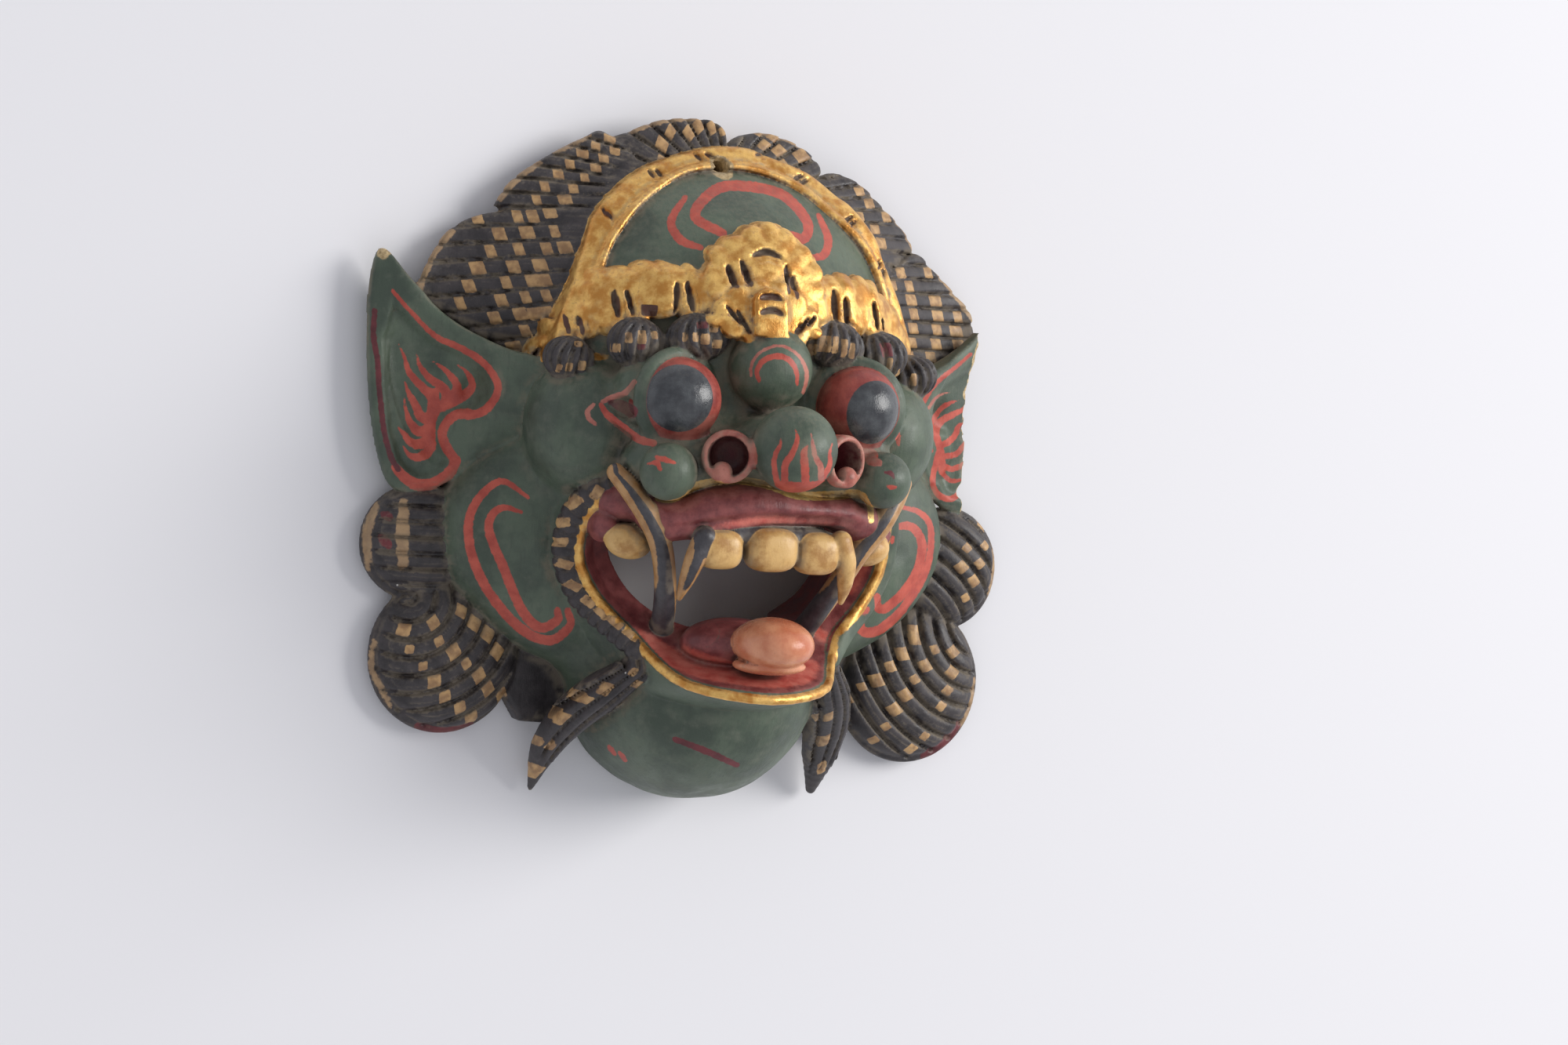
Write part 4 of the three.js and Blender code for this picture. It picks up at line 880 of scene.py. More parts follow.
STROKES = [
    ("omega", "red", [1.3, 1.6, 1.5, 1.5, 1.6, 1.4], [[-10.3, 77.2, 45.5], [-16.7, 81.9, 39.1], [-8.3, 89.6, 31.5], [0.4, 91.6, 29.3], [13.5, 90.0, 29.1], [18.3, 82.6, 37.6], [15.2, 77.5, 43.9], [6.6, 77.8, 51.9]]),
    ("omegaL", "red", [0.8, 1.3, 1.3, 0.8], [[-17.2, 87.0, 32.0], [-23.1, 79.9, 37.6], [-22.0, 74.5, 43.7], [-17.2, 72.8, 46.9]]),
    ("omegaR", "red", [0.8, 1.3, 1.3, 0.8], [[24.6, 84.6, 31.1], [24.7, 78.1, 38.8], [21.1, 73.2, 45.2], [12.6, 71.8, 55.2]]),
    ("eL_ridge", "red", [0.5, 0.9, 1.1, 1.3], [[-95.9, 55.6, 12.1], [-92.5, 51.7, 13.8], [-86.9, 46.5, 13.7], [-82.9, 43.1, 15.2], [-79.7, 41.8, 17.0], [-76.1, 40.1, 19.3], [-72.5, 37.8, 22.0], [-70.0, 35.0, 24.5], [-68.0, 31.5, 25.7], [-67.7, 28.5, 25.3], [-68.8, 25.3, 23.3], [-70.6, 22.8, 20.2], [-73.5, 21.8, 17.6]]),
    ("eL_S", "red", [1.4, 1.4, 1.4], [[-73.5, 22.3, 17.7], [-76.6, 21.6, 15.7], [-78.8, 18.8, 13.8], [-79.4, 15.7, 12.9], [-77.8, 12.1, 12.7], [-75.6, 9.2, 13.1]]),
    ("eL_bot", "red", [1.2, 1.7, 1.7, 1.5], [[-92.0, 5.8, 10.6], [-89.4, 3.4, 10.5], [-85.6, 1.2, 10.5], [-81.4, 1.4, 10.8], [-78.0, 3.3, 11.6], [-75.9, 6.1, 12.8], [-75.1, 8.7, 13.3]]),
    ("eL_edge", "wine", [0.8, 0.8, 0.8], [[-100.2, 49.7, 9.8], [-100.1, 42.6, 9.9], [-98.8, 35.6, 10.6], [-98.0, 28.0, 11.0], [-96.8, 20.4, 11.1], [-95.5, 14.4, 11.1], [-93.5, 8.8, 10.9], [-91.1, 5.3, 10.6]]),
    ("eL_F1", "red", [0.1, 0.9, 1.4, 1.5], [[-93.4, 41.0, 11.7], [-91.3, 37.0, 11.7], [-89.8, 33.0, 11.9], [-86.7, 29.6, 12.8], [-83.7, 26.8, 13.6], [-82.0, 23.8, 13.8], [-82.6, 20.6, 13.0]]),
    ("eL_F2", "red", [0.1, 0.9, 1.4, 1.5], [[-88.2, 38.7, 12.5], [-87.1, 35.2, 12.9], [-84.5, 31.8, 13.8], [-81.1, 29.5, 15.1], [-79.5, 27.0, 15.6], [-80.1, 23.9, 14.6]]),
    ("eL_F3", "red", [0.1, 0.9, 1.4, 1.5], [[-83.8, 36.5, 14.2], [-81.0, 34.6, 15.6], [-78.6, 32.2, 16.9], [-77.0, 29.3, 17.4], [-78.1, 26.6, 16.2], [-80.1, 23.9, 14.6]]),
    ("eL_F4", "red", [0.1, 0.9, 1.4, 1.5], [[-77.5, 35.9, 17.7], [-75.2, 34.0, 19.3], [-73.7, 31.1, 20.1], [-73.9, 29.0, 19.4], [-75.8, 26.8, 17.6], [-79.2, 24.5, 15.1]]),
    ("eL_F5", "red", [0.1, 0.9, 1.4, 1.5], [[-91.0, 30.4, 11.8], [-89.5, 26.9, 11.9], [-87.3, 23.5, 12.1], [-86.1, 21.0, 12.2], [-84.5, 20.0, 12.4]]),
    ("eL_F6", "red", [0.1, 0.9, 1.4, 1.5], [[-91.0, 25.8, 11.9], [-89.7, 20.8, 12.0], [-88.0, 17.8, 12.0], [-85.8, 16.4, 12.0], [-83.2, 17.0, 12.2]]),
    ("eL_F7", "red", [0.1, 0.9, 1.4, 1.5], [[-92.6, 17.6, 12.3], [-90.7, 15.7, 12.6], [-88.5, 13.2, 12.7], [-85.6, 12.8, 12.1], [-83.1, 14.4, 12.1]]),
    ("eL_F8", "red", [0.1, 0.9, 1.4, 1.5], [[-90.5, 12.1, 11.9], [-88.5, 9.6, 11.8], [-86.0, 9.0, 12.2], [-83.4, 10.3, 12.1], [-82.2, 12.9, 12.0]]),
    ("eL_trunk", "red", [1.6, 1.6, 1.3], [[-82.8, 27.3, 14.0], [-82.8, 23.2, 13.3], [-82.9, 19.1, 12.6], [-82.6, 15.5, 12.2], [-82.1, 11.9, 12.0]]),
    ("eR_ridge", "red", [0.5, 0.7, 0.75, 0.7, 0.6], [[81.2, 47.1, 20], [77.5, 43.8, 20], [73.9, 40.9, 20], [70.2, 37.6, 20], [67.5, 33.5, 20], [65.8, 29.6, 20], [65.2, 25.7, 20], [66.1, 22.2, 20], [68.0, 19.5, 20], [70.3, 17.7, 20]]),
    ("eR_F1", "rose", [0.1, 0.45, 0.5], [[75.1, 35.5, 20], [72.1, 34.5, 20], [70.1, 32.9, 20], [68.6, 30.5, 20]]),
    ("eR_F2", "red", [0.1, 0.75, 0.8, 0.8], [[81.1, 33.1, 14], [77.7, 31.8, 14], [75.2, 30.1, 14], [73.3, 27.3, 14], [72.1, 24.5, 14]]),
    ("eR_F3", "red", [0.1, 0.9, 1.15, 1.15], [[84.1, 33.3, 14], [82.6, 30.4, 14], [79.6, 28.7, 14], [76.3, 27.0, 14], [74.3, 24.6, 14], [74.1, 21.8, 14]]),
    ("eR_F4", "red", [0.1, 0.9, 1.0, 1.0], [[84.1, 26.6, 14], [81.6, 25.3, 14], [80.5, 22.5, 14], [78.5, 20.4, 14], [76.0, 19.1, 14]]),
    ("eR_F5", "red", [0.1, 0.85, 0.9, 0.9], [[84.1, 21.4, 14], [82.9, 18.6, 14], [80.9, 16.6, 14], [77.5, 16.0, 14]]),
    ("eR_F6", "red", [0.1, 0.85, 0.9, 0.9], [[84.3, 14.7, 14], [82.5, 13.1, 14], [79.9, 12.2, 14], [77.7, 12.9, 14]]),
    ("eR_F7", "red", [0.1, 0.65, 0.7, 0.7], [[84.4, 9.6, 14], [81.9, 8.7, 14], [79.3, 9.0, 14], [77.0, 10.9, 14]]),
    ("eR_trunk", "red", [1.1, 1.15, 1.1], [[73.5, 23.7, 14], [75.0, 20.3, 14], [76.1, 17.2, 14], [76.7, 14.1, 14], [76.9, 11.3, 14]]),
    ("eR_S", "red", [0.9, 0.95, 0.95, 0.9], [[75.3, 16.7, 14], [74.6, 13.2, 14], [74.0, 9.2, 14], [74.7, 6.1, 14], [77.0, 3.8, 14], [80.5, 3.2, 14], [83.0, 4.8, 14]]),
    ("t_in", "red", [0.7, 0.85, 0.85, 0.8, 0.5], [[-6.9, 37.0, 70.5], [-7.6, 39.2, 70.5], [-6.9, 41.5, 71.0], [-5.2, 43.1, 71.6], [-2.5, 43.9, 72.4], [0.1, 43.4, 72.8], [1.9, 42.0, 73.0], [3.1, 40.2, 72.9], [3.7, 38.3, 72.5], [4.1, 36.4, 71.8]]),
    ("t_out", "rose", [0.5, 0.45, 0.4, 0.5, 0.7, 0.5], [[-8.7, 38.2, 69.2], [-8.9, 40.7, 69.2], [-7.6, 43.7, 69.8], [-5.0, 45.8, 70.6], [-1.5, 46.8, 71.2], [1.9, 45.8, 71.7], [4.4, 44.0, 71.7], [6.0, 41.9, 71.5], [7.2, 39.4, 70.8], [7.5, 36.8, 69.9], [7.5, 34.1, 68.2]]),
    ("n1", "red", [0.9, 0.8, 0.7, 0.1], [[-6.8, 10.3, 87.4], [-8.7, 14.8, 89.6], [-8.7, 18.0, 90.6], [-8.0, 19.9, 91.3], [-7.7, 22.1, 91.0]]),
    ("n2", "red", [1.1, 1.1, 0.9, 0.7, 0.1], [[-5.2, 10.5, 89.3], [-6.3, 15.0, 91.9], [-5.2, 17.6, 93.2], [-4.2, 20.5, 93.6], [-3.8, 22.7, 93.1], [-4.1, 24.7, 92.1]]),
    ("n3", "red", [1.3, 1.3, 1.1, 0.1], [[0.2, 10.5, 91.1], [-1.4, 15.0, 93.8], [-2.0, 18.5, 94.3], [-1.0, 20.7, 94.3]]),
    ("n4", "rose", [1.0, 0.9, 0.7, 0.1], [[5.0, 11.6, 90.6], [3.5, 14.8, 93.2], [1.3, 17.6, 94.3], [0.4, 21.1, 94.2], [0.1, 23.8, 93.3]]),
    ("n5", "red", [0.9, 0.8, 0.5, 0.1], [[6.2, 12.0, 89.5], [6.9, 15.5, 91.7], [6.2, 18.7, 92.7], [7.2, 21.2, 91.8]]),
    ("nb", "red", [1.0, 1.7, 1.9, 1.7, 1.0], [[-6.0, 9.3, 86.5], [-3.1, 8.6, 87.8], [0.8, 8.4, 88.3], [5.6, 9.1, 86.6], [7.6, 10.4, 85.0]]),
    ("commaL", "rose", [0.5, 0.8, 0.6], [[-48.5, 27.6, 53.1], [-50.1, 25.8, 53.1], [-50.0, 23.8, 53.5], [-48.1, 22.2, 54.1]]),
    ("starL1", "red", [0.5, 0.9, 0.4], [[-37.5, 14.7, 75.3], [-35.9, 14.3, 77.0], [-33.2, 13.5, 78.4]]),
    ("starL2", "red", [0.2, 0.8, 0.6], [[-39.4, 12.6, 73.4], [-37.7, 13.2, 76.1], [-36.9, 11.5, 77.3]]),
    ("cheekR", "red", [0.5, 0.9, 0.5], [[43.2, 25.0, 54.2], [43.4, 22.6, 54.5], [43.7, 20.3, 54.5]]),
    ("ballR1", "wine", [0.4, 0.7, 0.4], [[29.6, 13.3, 78.1], [31.1, 13.1, 78.5], [32.1, 11.8, 78.9]]),
    ("ballR2", "red", [0.4, 0.7, 0.5], [[30.3, 9.5, 78.7], [31.3, 9.2, 78.8], [32.7, 9.3, 78.8]]),
    ("lidL_low", "red", [0.7, 1.1, 1.2, 1.0], [[-46.6, 27.7, 53.4], [-44.8, 25.0, 54.2], [-40.4, 21.8, 54.7], [-37.2, 18.8, 59.6], [-34.9, 18.1, 65.5]]),
    ("lidL_up", "rose", [0.6, 0.8, 0.9, 0.7], [[-46.2, 28.4, 53.2], [-43.7, 29.7, 53.7], [-41.2, 31.3, 57.5], [-39.1, 34.5, 59.0]]),
    ("crease", "wine", [0.6, 1.6, 1.9], [[-44.2, 28.4, 53.8], [-42.0, 27.8, 55.9], [-39.3, 26.2, 58.8]]),
    ("lidR_low", "red", [1.0, 1.9, 2.3, 1.6], [[18.6, 24.2, 67.7], [15.8, 21.5, 79.6], [20.9, 19.6, 75.9], [25.5, 18.6, 72.0], [29.0, 17.6, 70.5]]),
    ("lidR_tail", "rose", [1.5, 1.8, 1.0], [[22.9, 19.7, 76.2], [27.2, 16.5, 73.4], [28.6, 15.7, 76.0]]),
    ("jL_out", "red", [0.5, 1.2, 1.4, 1.4, 1.4, 1.0], [[-58.0, -0.3, 28.9], [-65.3, 3.8, 24.8], [-72.0, -4.2, 21.9], [-72.4, -14.9, 22.1], [-66.3, -27.4, 22.0], [-55.8, -38.0, 21.0], [-47.4, -41.2, 23.2], [-43.2, -36.4, 28.1], [-44.7, -32.0, 29.6]]),
    ("jL_in", "red", [0.5, 1.2, 1.4, 1.4, 1.4, 1.0], [[-59.8, -4.4, 28.8], [-65.3, -3.7, 26.4], [-68.2, -9.4, 25.6], [-63.0, -21.4, 26.6], [-56.7, -32.7, 25.0], [-50.9, -37.5, 24.6], [-47.0, -34.9, 27.8], [-47.5, -32.1, 28.8]]),
    ("jR_out", "red", [0.5, 0.9, 1.1, 1.3, 1.5, 1.5, 1.3], [[53.0, 1.5, 34.0], [60.0, 0.6, 28.1], [65.0, -0.7, 26.2], [69.1, -4.0, 24.3], [70.0, -9.5, 24.2], [69.6, -16.0, 23.8], [67.4, -21.6, 23.9], [63.7, -27.3, 24.1], [60.3, -32.0, 23.4], [55.3, -35.8, 23.8], [50.6, -36.7, 25.4], [46.5, -35.0, 29.5], [45.0, -31.5, 32.5], [46.5, -29.0, 32.5]]),
    ("jR_in", "red", [0.6, 1.2, 1.5, 1.5, 1.4, 1.2], [[52.5, -9.0, 35.0], [53.5, -5.8, 33.0], [58.3, -4.4, 29.2], [62.5, -5.3, 28.0], [65.9, -9.4, 26.5], [65.9, -15.0, 26.2], [64.2, -19.7, 26.4], [60.7, -24.3, 27.0], [57.2, -27.6, 27.3], [54.2, -29.4, 27.7], [51.0, -28.5, 30.5], [50.0, -25.5, 32.0]]),
    ("chin1", "red", [0.5, 0.8, 0.5], [[-28.1, -71.4, 24.2], [-26.3, -73.5, 24.8]]),
    ("chin2", "red", [0.5, 0.8, 0.5], [[-25.9, -72.7, 27.6], [-23.8, -75.0, 27.5]]),
    ("chin3", "wine", [0.8, 1.0, 0.8], [[-16.5, -66.2, 47.0], [-7.9, -69.1, 49.3], [3.1, -73.5, 46.3]]),
]
paint = {k: np.full(len(P), 4.0) for k in ("red", "rose", "wine", "ochre", "tan", "crimson", "rimgold", "iris", "slit", "core", "raw", "smudge")}


def brush(name, d):
    paint[name] = np.minimum(paint[name], d)


facing = (P - np.array(FAR_POINT))
facing = -(facing * NV).sum(1) / np.linalg.norm(facing, axis=1)
for _, colour, radii, points in STROKES:
    brush(colour, np.where(facing > 0.02, drawn(points, radii), 4.0))

# squares on the combed plates: lock number and radius (fans), or lock number and angle (rings)
SQUARES = dict(
    A=[(7, 391), (7, 403), (7, 386), (8, 388), (8, 396), (8, 380), (9, 382.4), (9, 390.6), (9, 377), (9, 399.4), (10, 384.8), (10, 392.9), (10, 403), (11, 382.8), (11, 387.1), (11, 395), (11, 406.4),
       (12, 383.5), (12, 389.2), (12, 397), (12, 409.4), (13, 383.8), (13, 386.8), (13, 391.6), (13, 399.4), (14, 390.5), (6, 394), (6, 404), (15, 394)],
    B=[(-5, 61), (-4, 58), (-4, 64.3), (-3, 61), (-3, 68.2), (-2, 62.9), (-2, 71.3), (-1, 66.3), (-1, 74.5), (0, 69.3), (0, 77.9), (1, 71.6), (1, 80), (-5, 68), (-6, 62), (2, 76)],
    C=[(12, 21.9), (13, 24.1), (14, 23.4), (15, 27.6), (16, 26.6), (10, 24.5), (11, 20.5), (17, 24.8), (9, 23)],
    D=[(5, 31.6), (5, 26.8), (4, 29.7), (3, 35.1), (3, 28.4), (2, 32), (6, 28.6), (7, 31.2), (1, 34.5), (8, 28)],
    E=[(2, 76.2), (3, 72.8), (1, 73), (0, 70.5), (0, 78), (-1, 73), (-1, 80.5), (-2, 70), (-2, 76.4), (-3, 73.5), (-3, 81), (3, 80.5), (4, 76), (5, 72), (4, 83), (1, 82)],
    F=[(-3, 397), (-2, 396.5), (-1, 397), (0, 397.4), (1, 397), (2, 396), (3, 395), (-2, 404), (-1, 405), (0, 405), (1, 404.5), (2, 404), (-3, 390.5), (-1, 389.6), (1, 389.5), (3, 389), (-1, 412), (1, 412), (0, 411.5), (4, 401), (4, 392)],
)
LOBE_SQUARES = [
    [(91, 90.3), (92, 89.4), (93, 89.8), (93, 89.5), (94, 89.9), (90, 90.0)],
    [(10, -318.6), (11, -309.8), (11, -315.9), (12, -313.4), (13, -311.8), (12, -307.6), (14, -316), (14, -309)],
    [(3, -55.5), (3, -17.2), (3, -88.2), (4, -50.4), (4, -22.5), (4, -78.4), (5, -48.8), (5, -24.9), (5, -71.4), (6, -47.5), (6, -67.9), (6, -30.2), (7, -47), (7, -63.3), (8, -59.5), (8, -44), (2, -50), (2, -95)],
    [(2, -135.9), (3, -151.6), (3, -122.8), (4, -172), (4, -146.3), (4, -167), (4, -119.4), (5, -142.5), (5, -160.5), (5, -116.7), (6, -155.1), (6, -139.3), (7, -152.4), (7, -136.5), (7, -116.5), (8, -152), (8, -134), (9, -132), (9, -150.5), (8, -118)],
]
jit = np.random.default_rng(41)
x, y, z = P.T
for Q in HAIR:
    xl, yl = lean(x, y, z, Q["top"])
    v = comb(Q["centre"], Q["pitch"], Q["phase"], xl, yl, Q["mid"])
    r = np.hypot(xl - Q["centre"][0], yl - Q["centre"][1])
    on = (sample(hair_maps[HAIR.index(Q)], x, y) < 0.6) & (np.abs(z - sample(hair_base[HAIR.index(Q)], x, y)) < 2.6) & (up > -0.1)
    wide = Q["pitch"] * r / Q["mid"]
    for lock, rad in SQUARES[Q["name"]]:
        ju, jv, js = jit.uniform(-0.5, 0.5), jit.uniform(-0.25, 0.25), jit.uniform(0.65, 1.12)
        a = (v - lock - 0.5) * wide + jv
        e = np.stack([np.abs(a) - wide * 0.40, np.abs(r - rad + ju + 0.3 * a) - (2.1 if Q["name"] == "A" else 1.9) * js])
        d = np.linalg.norm(np.maximum(e + 0.3, 0), axis=0) - 0.3 + np.minimum(e.max(0) + 0.3, 0)
        brush("ochre", np.where(on, d, 4.0))
for L, marks, m in zip(LOBES, LOBE_SQUARES, lobe_maps):
    v = comb(L["centre"], L["pitch"], L["phase"], x, y)
    dx, dy = x - L["centre"][0], y - L["centre"][1]
    r, ang = np.hypot(dx, dy), np.degrees(np.arctan2(dy, dx))
    on = (sample(m, x, y) < 0.6) & (z < 16.5) & (up > -0.2) & (region["dark"] < 0.8)
    for lock, deg in marks:
        ju, jv, js = jit.uniform(-0.4, 0.4), jit.uniform(-0.2, 0.2), jit.uniform(0.7, 1.15)
        a = (v - lock - 0.5) * L["pitch"] + jv
        t = (np.mod(ang - deg + 180, 360) - 180) * math.pi / 180 * r + ju
        e = np.stack([np.abs(a) - 1.75 * js, np.abs(t + 0.2 * a) - 1.8 * js])
        d = np.linalg.norm(np.maximum(e + 0.3, 0), axis=0) - 0.3 + np.minimum(e.max(0) + 0.3, 0)
        brush("ochre", np.where(on, d, 4.0))
# tan strokes along the plates' outer edges
for pts_, zz, rr_ in [
        ([[-87, 56], [-86, 61], [-83.4, 67], [-78.4, 73.4]], 7.5, 1.3), ([[-66, 79.4], [-56, 80.8]], 7.5, 1.1),
        ([[-65, 83.5], [-60.2, 90.0], [-54, 94.6]], 9, 1.2), ([[-49, 98], [-40, 102.8]], 9, 1.1), ([[-27, 105.6], [-17, 109.6], [-8, 110.6]], 11, 1.1),
        ([[11.3, 107.9], [18.3, 107.6], [26, 105]], 10, 1.1), ([[45.4, 96], [53.3, 90], [61, 83.2], [64.6, 77]], 8.5, 1.4), ([[72.9, 71], [80.8, 64.2], [86.4, 57.6]], 7.5, 1.4),
        ([[-95.6, -4], [-98.4, -13], [-97.2, -24]], 8, 1.2), ([[-89.2, -4], [-89.6, -13], [-88.8, -22]], 13, 1.9), ([[-94.4, -44], [-94.6, -52], [-88.5, -63]], 8, 1.1), ([[95.6, -52], [94.4, -62], [88.5, -70]], 8, 1.1), ([[98.6, -9], [100, -18], [98.4, -28]], 8, 1.0)]:
    brush("tan", along_line([[p[0], p[1], zz] for p in pts_], [rr_ * 0.7, rr_, rr_ * 0.7], flat=0.35))
for pts_, zz, rr_ in [([[-80, -68.5], [-72, -70.4], [-64, -68]], 7.5, 2.0), ([[80, -76], [86, -72.6], [91, -66]], 9, 2.4), ([[-95, -14], [-93, -16.5]], 11, 1.6), ([[-94.6, -7.5], [-92.8, -8.5]], 11, 1.4)]:
    brush("wine", along_line([[p[0], p[1], zz] for p in pts_], [rr_ * 0.6, rr_, rr_ * 0.6], flat=0.35))
# blocks on the fringe, whiskers and brow curls
for c, turn in [((-45.0, 2.9, 50.1), 150), ((-49.8, -0.2, 45.2), 130), ((-52.1, -6.3, 41.6), 100), ((-52.0, -11.8, 40.8), 88), ((-49.9, -18.0, 40.6), 66), ((-47.1, -23.9, 40.6), 55), ((-43.0, -28.1, 41.2), 45), ((-39.3, -31.1, 43.6), 40), ((-35.7, -33.5, 45.8), 40), ((-32.0, -36.5, 48.3), 44)]:
    brush("ochre", patch(c, turn, 1.3, 2.0, 0.15, 0.35))
for c, u, v in [((-31.2, -46.9, 49.8), 1.3, 0.9), ((-29.2, -50.6, 48.1), 1.2, 1.1), ((-36.6, -52.7, 42.9), 2.0, 1.4), ((-41.8, -55.7, 32.9), 1.7, 1.1), ((-40.2, -56.5, 37.3), 1.3, 1.0), ((-45.3, -61.8, 24.0), 2.0, 1.1), ((-44.0, -63.1, 28.2), 2.0, 1.0), ((-47.0, -71.0, 15.0), 1.4, 1.1), ((-44.0, -71.6, 17.0), 1.7, 1.2), ((-45.6, -80.6, 8.6), 2.2, 2.3)]:
    brush("ochre", patch(c, 62, u, v, 0.2, 0.35))
for c, u, v in [((31.87, -61.18, 38.0), 1.7, 1.0), ((34.39, -60.26, 36.0), 1.7, 0.9), ((38.68, -68.69, 26.0), 2.0, 1.5), ((43.14, -78.5, 13.0), 2.2, 1.2)]:
    brush("ochre", patch(c, 118, u, v, 0.2, 0.3))
for c, u, v in [((-51.4, 43.9, 45.5), 1.3, 0.8), ((-50.5, 38.0, 46.7), 1.0, 1.4), ((-54.3, 37.4, 46.8), 0.9, 1.2), ((-56.7, 36.9, 46.0), 0.7, 1.2), ((-37.5, 46.9, 58.1), 1.1, 1.9), ((-33.6, 47.6, 57.5), 0.9, 1.1), ((-41.1, 46.6, 57.1), 0.8, 1.5),
                ((-43.8, 43.5, 56.2), 0.8, 1.3), ((-26.1, 47.6, 61.7), 0.7, 1.3), ((-23.4, 47.8, 63.1), 1.0, 1.3), ((-20.6, 47.4, 62.8), 1.2, 1.5), ((-18.3, 50.6, 61.9), 1.4, 1.2), ((-16.3, 46.2, 62.2), 1.8, 1.2),
                ((15.7, 47.9, 61.8), 1.6, 2.3), ((18.7, 47.8, 63.2), 1.0, 2.4), ((21.3, 47.0, 63.2), 0.9, 2.6), ((24.0, 46.4, 62.4), 0.8, 2.2), ((12.8, 46.0, 58.9), 1.1, 1.7), ((37.6, 43.4, 58.6), 0.7, 1.6), ((41.6, 40.1, 54.2), 0.7, 1.8), ((50.5, 39.0, 46.5), 0.9, 1.8)]:
    brush("ochre", patch(c, 0, u, v, 0.0, 0.4))
for c, u, v in [((-21.4, 51.2, 62.4), 1.6, 0.9), ((-37.5, 44.2, 58.6), 1.0, 0.8), ((36.3, 47.2, 57.8), 1.7, 2.0), ((-90, 70, 8), 2, 2)]:
    brush("wine", patch(c, 10, u, v, 0.0, 0.4))

# eyes: dark iris in a red ball
ball = {s: np.linalg.norm(P - [EYE[0] * s, EYE[1], EYE[2]], axis=1) for s in (-1, 1)}
for s, look, chord in ((-1, (-31.1, 31.2, 73.2), 10.3), (1, (29.3, 29.2, 73.8), 9.9)):
    brush("iris", np.linalg.norm(P - look, axis=1) - chord + np.maximum(ball[s] - EYE_R - 0.4, 0) * 3)
# gilt edge of the upper lip, red inner lips
lip_here = sample(lip, x, y)
top_edge = drawn([[-31.4, 2.9, 62], [-28.3, 3.2, 66], [-22.3, 7.2, 69], [-12.7, 9.0, 71], [-2.6, 8.1, 72], [6.6, 5.6, 72], [18.3, 6.0, 71], [25.1, 6.5, 69], [30.5, 4.1, 66], [32.9, -1.2, 63]], [1.0, 1.25, 1.15, 1.05, 1.25, 1.3, 1.3, 1.15, 0.9], reach=7.0)
brush("rimgold", top_edge)
brush("crimson", along_line([[-19, -4.6, 70], [-12, -3.0, 71], [-3, -1.6, 72], [8, -1.8, 72], [20, -2.6, 70]], [0.2, 0.9, 1.0, 0.5, 0.2]))
brush("crimson", along_line([[-30, -38, 44], [-22, -42, 54], [-12, -45.4, 64], [0, -46.5, 69], [12, -45, 66], [20, -41.5, 58]], [3.0, 4.2, 4.4, 4.0, 3.6, 3.0]))
brush("crimson", along_line([[38, -22, 38], [41, -12, 40], [40, -3, 44]], [2.5, 3.4, 2.5]))
brush("crimson", along_line([[23, -31, 44], [27, -35, 47]], [2.0, 2.4]))
# dark heart of the tusks and of the left canine
for s in (-1, 1):
    line = spline(np.array(TUSK) * [s, 1, 1], 5)
    d, _ = near_line(line[:, :2], x, y)
    off = (x - np.interp(y, line[:, 1], line[:, 0]))
    brush("core", np.where((region["tusk"] < 0.5) & (np.abs(z - np.interp(y, line[:, 1], line[:, 2])) < 7) & (y > -38), np.abs(off + 0.9) - np.interp(y, [-35, -20, 0, 9], [4.0, 2.0, 1.5, 0.6]), 4.0))
brush("core", np.where((region["tusk"] < 0.5) & (np.abs(y + 6.5) < 6) & (np.abs(x) < 24), own["tusk"] - 0.8, 4.0))
brush("core", along_line(np.array([[-20.8, -8, 73], [-22.8, -13, 73], [-23.9, -19, 70], [-24.4, -23, 66]]), [1.3, 1.5, 1.1, 0.5]))
slit_here = sample(slit_all, x, y)
brush("slit", np.where((z > 20), 0.32 - slit_here, 1.0))
brush("slit", np.where((z > 8), 0.55 - sample(notch, x, y), 1.0))
brush("slit", patch((-33.9, 54.4, 56), 0, 2.0, 1.6, 0.0, 0.3))
nail_d = np.hypot(x + 3.6, y - 96.6)
brush("raw", np.where((z > 12), nail_d - 3.6, 4.0))
broken = (y > -1) & (y < 66) & (np.abs(x - sample(snap, x, y)) < 1.4) & (NV[:, 0] > 0.45)
brush("raw", np.where(broken, -1.0, 4.0))
brush("raw", np.linalg.norm(P - [-98.2, 66.2, 9.5], axis=1) - 2.2)
# nostrils: rose rims, dark wine inside
tube_in = np.full(len(P), 4.0)
for s in (-1, 1):
    n = np.array([math.sin(NOSTRIL_OUT) * s, 0, math.cos(NOSTRIL_OUT)])
    d = P - [NOSTRIL[0] * s, NOSTRIL[1], NOSTRIL[2]]
    h = d @ n
    q = np.sqrt(np.maximum((d ** 2).sum(1) - h ** 2, 0))
    brush("rose", np.maximum(np.maximum(q - NOSTRIL_R - 0.7, -h - 3.2), BORE_R - 0.9 - q))
    brush("rose", np.linalg.norm(P - [18.6 * s, 11.4, 76.6], axis=1) - 3.3)
    bump = np.linalg.norm(P - [18.6 * s, 11.4, 76.6], axis=1) - 3.3
    tube_in = np.minimum(tube_in, np.maximum(np.maximum(q - BORE_R - 0.1, np.abs(h + 8) - 7.6), -bump))
brush("wine", tube_in)
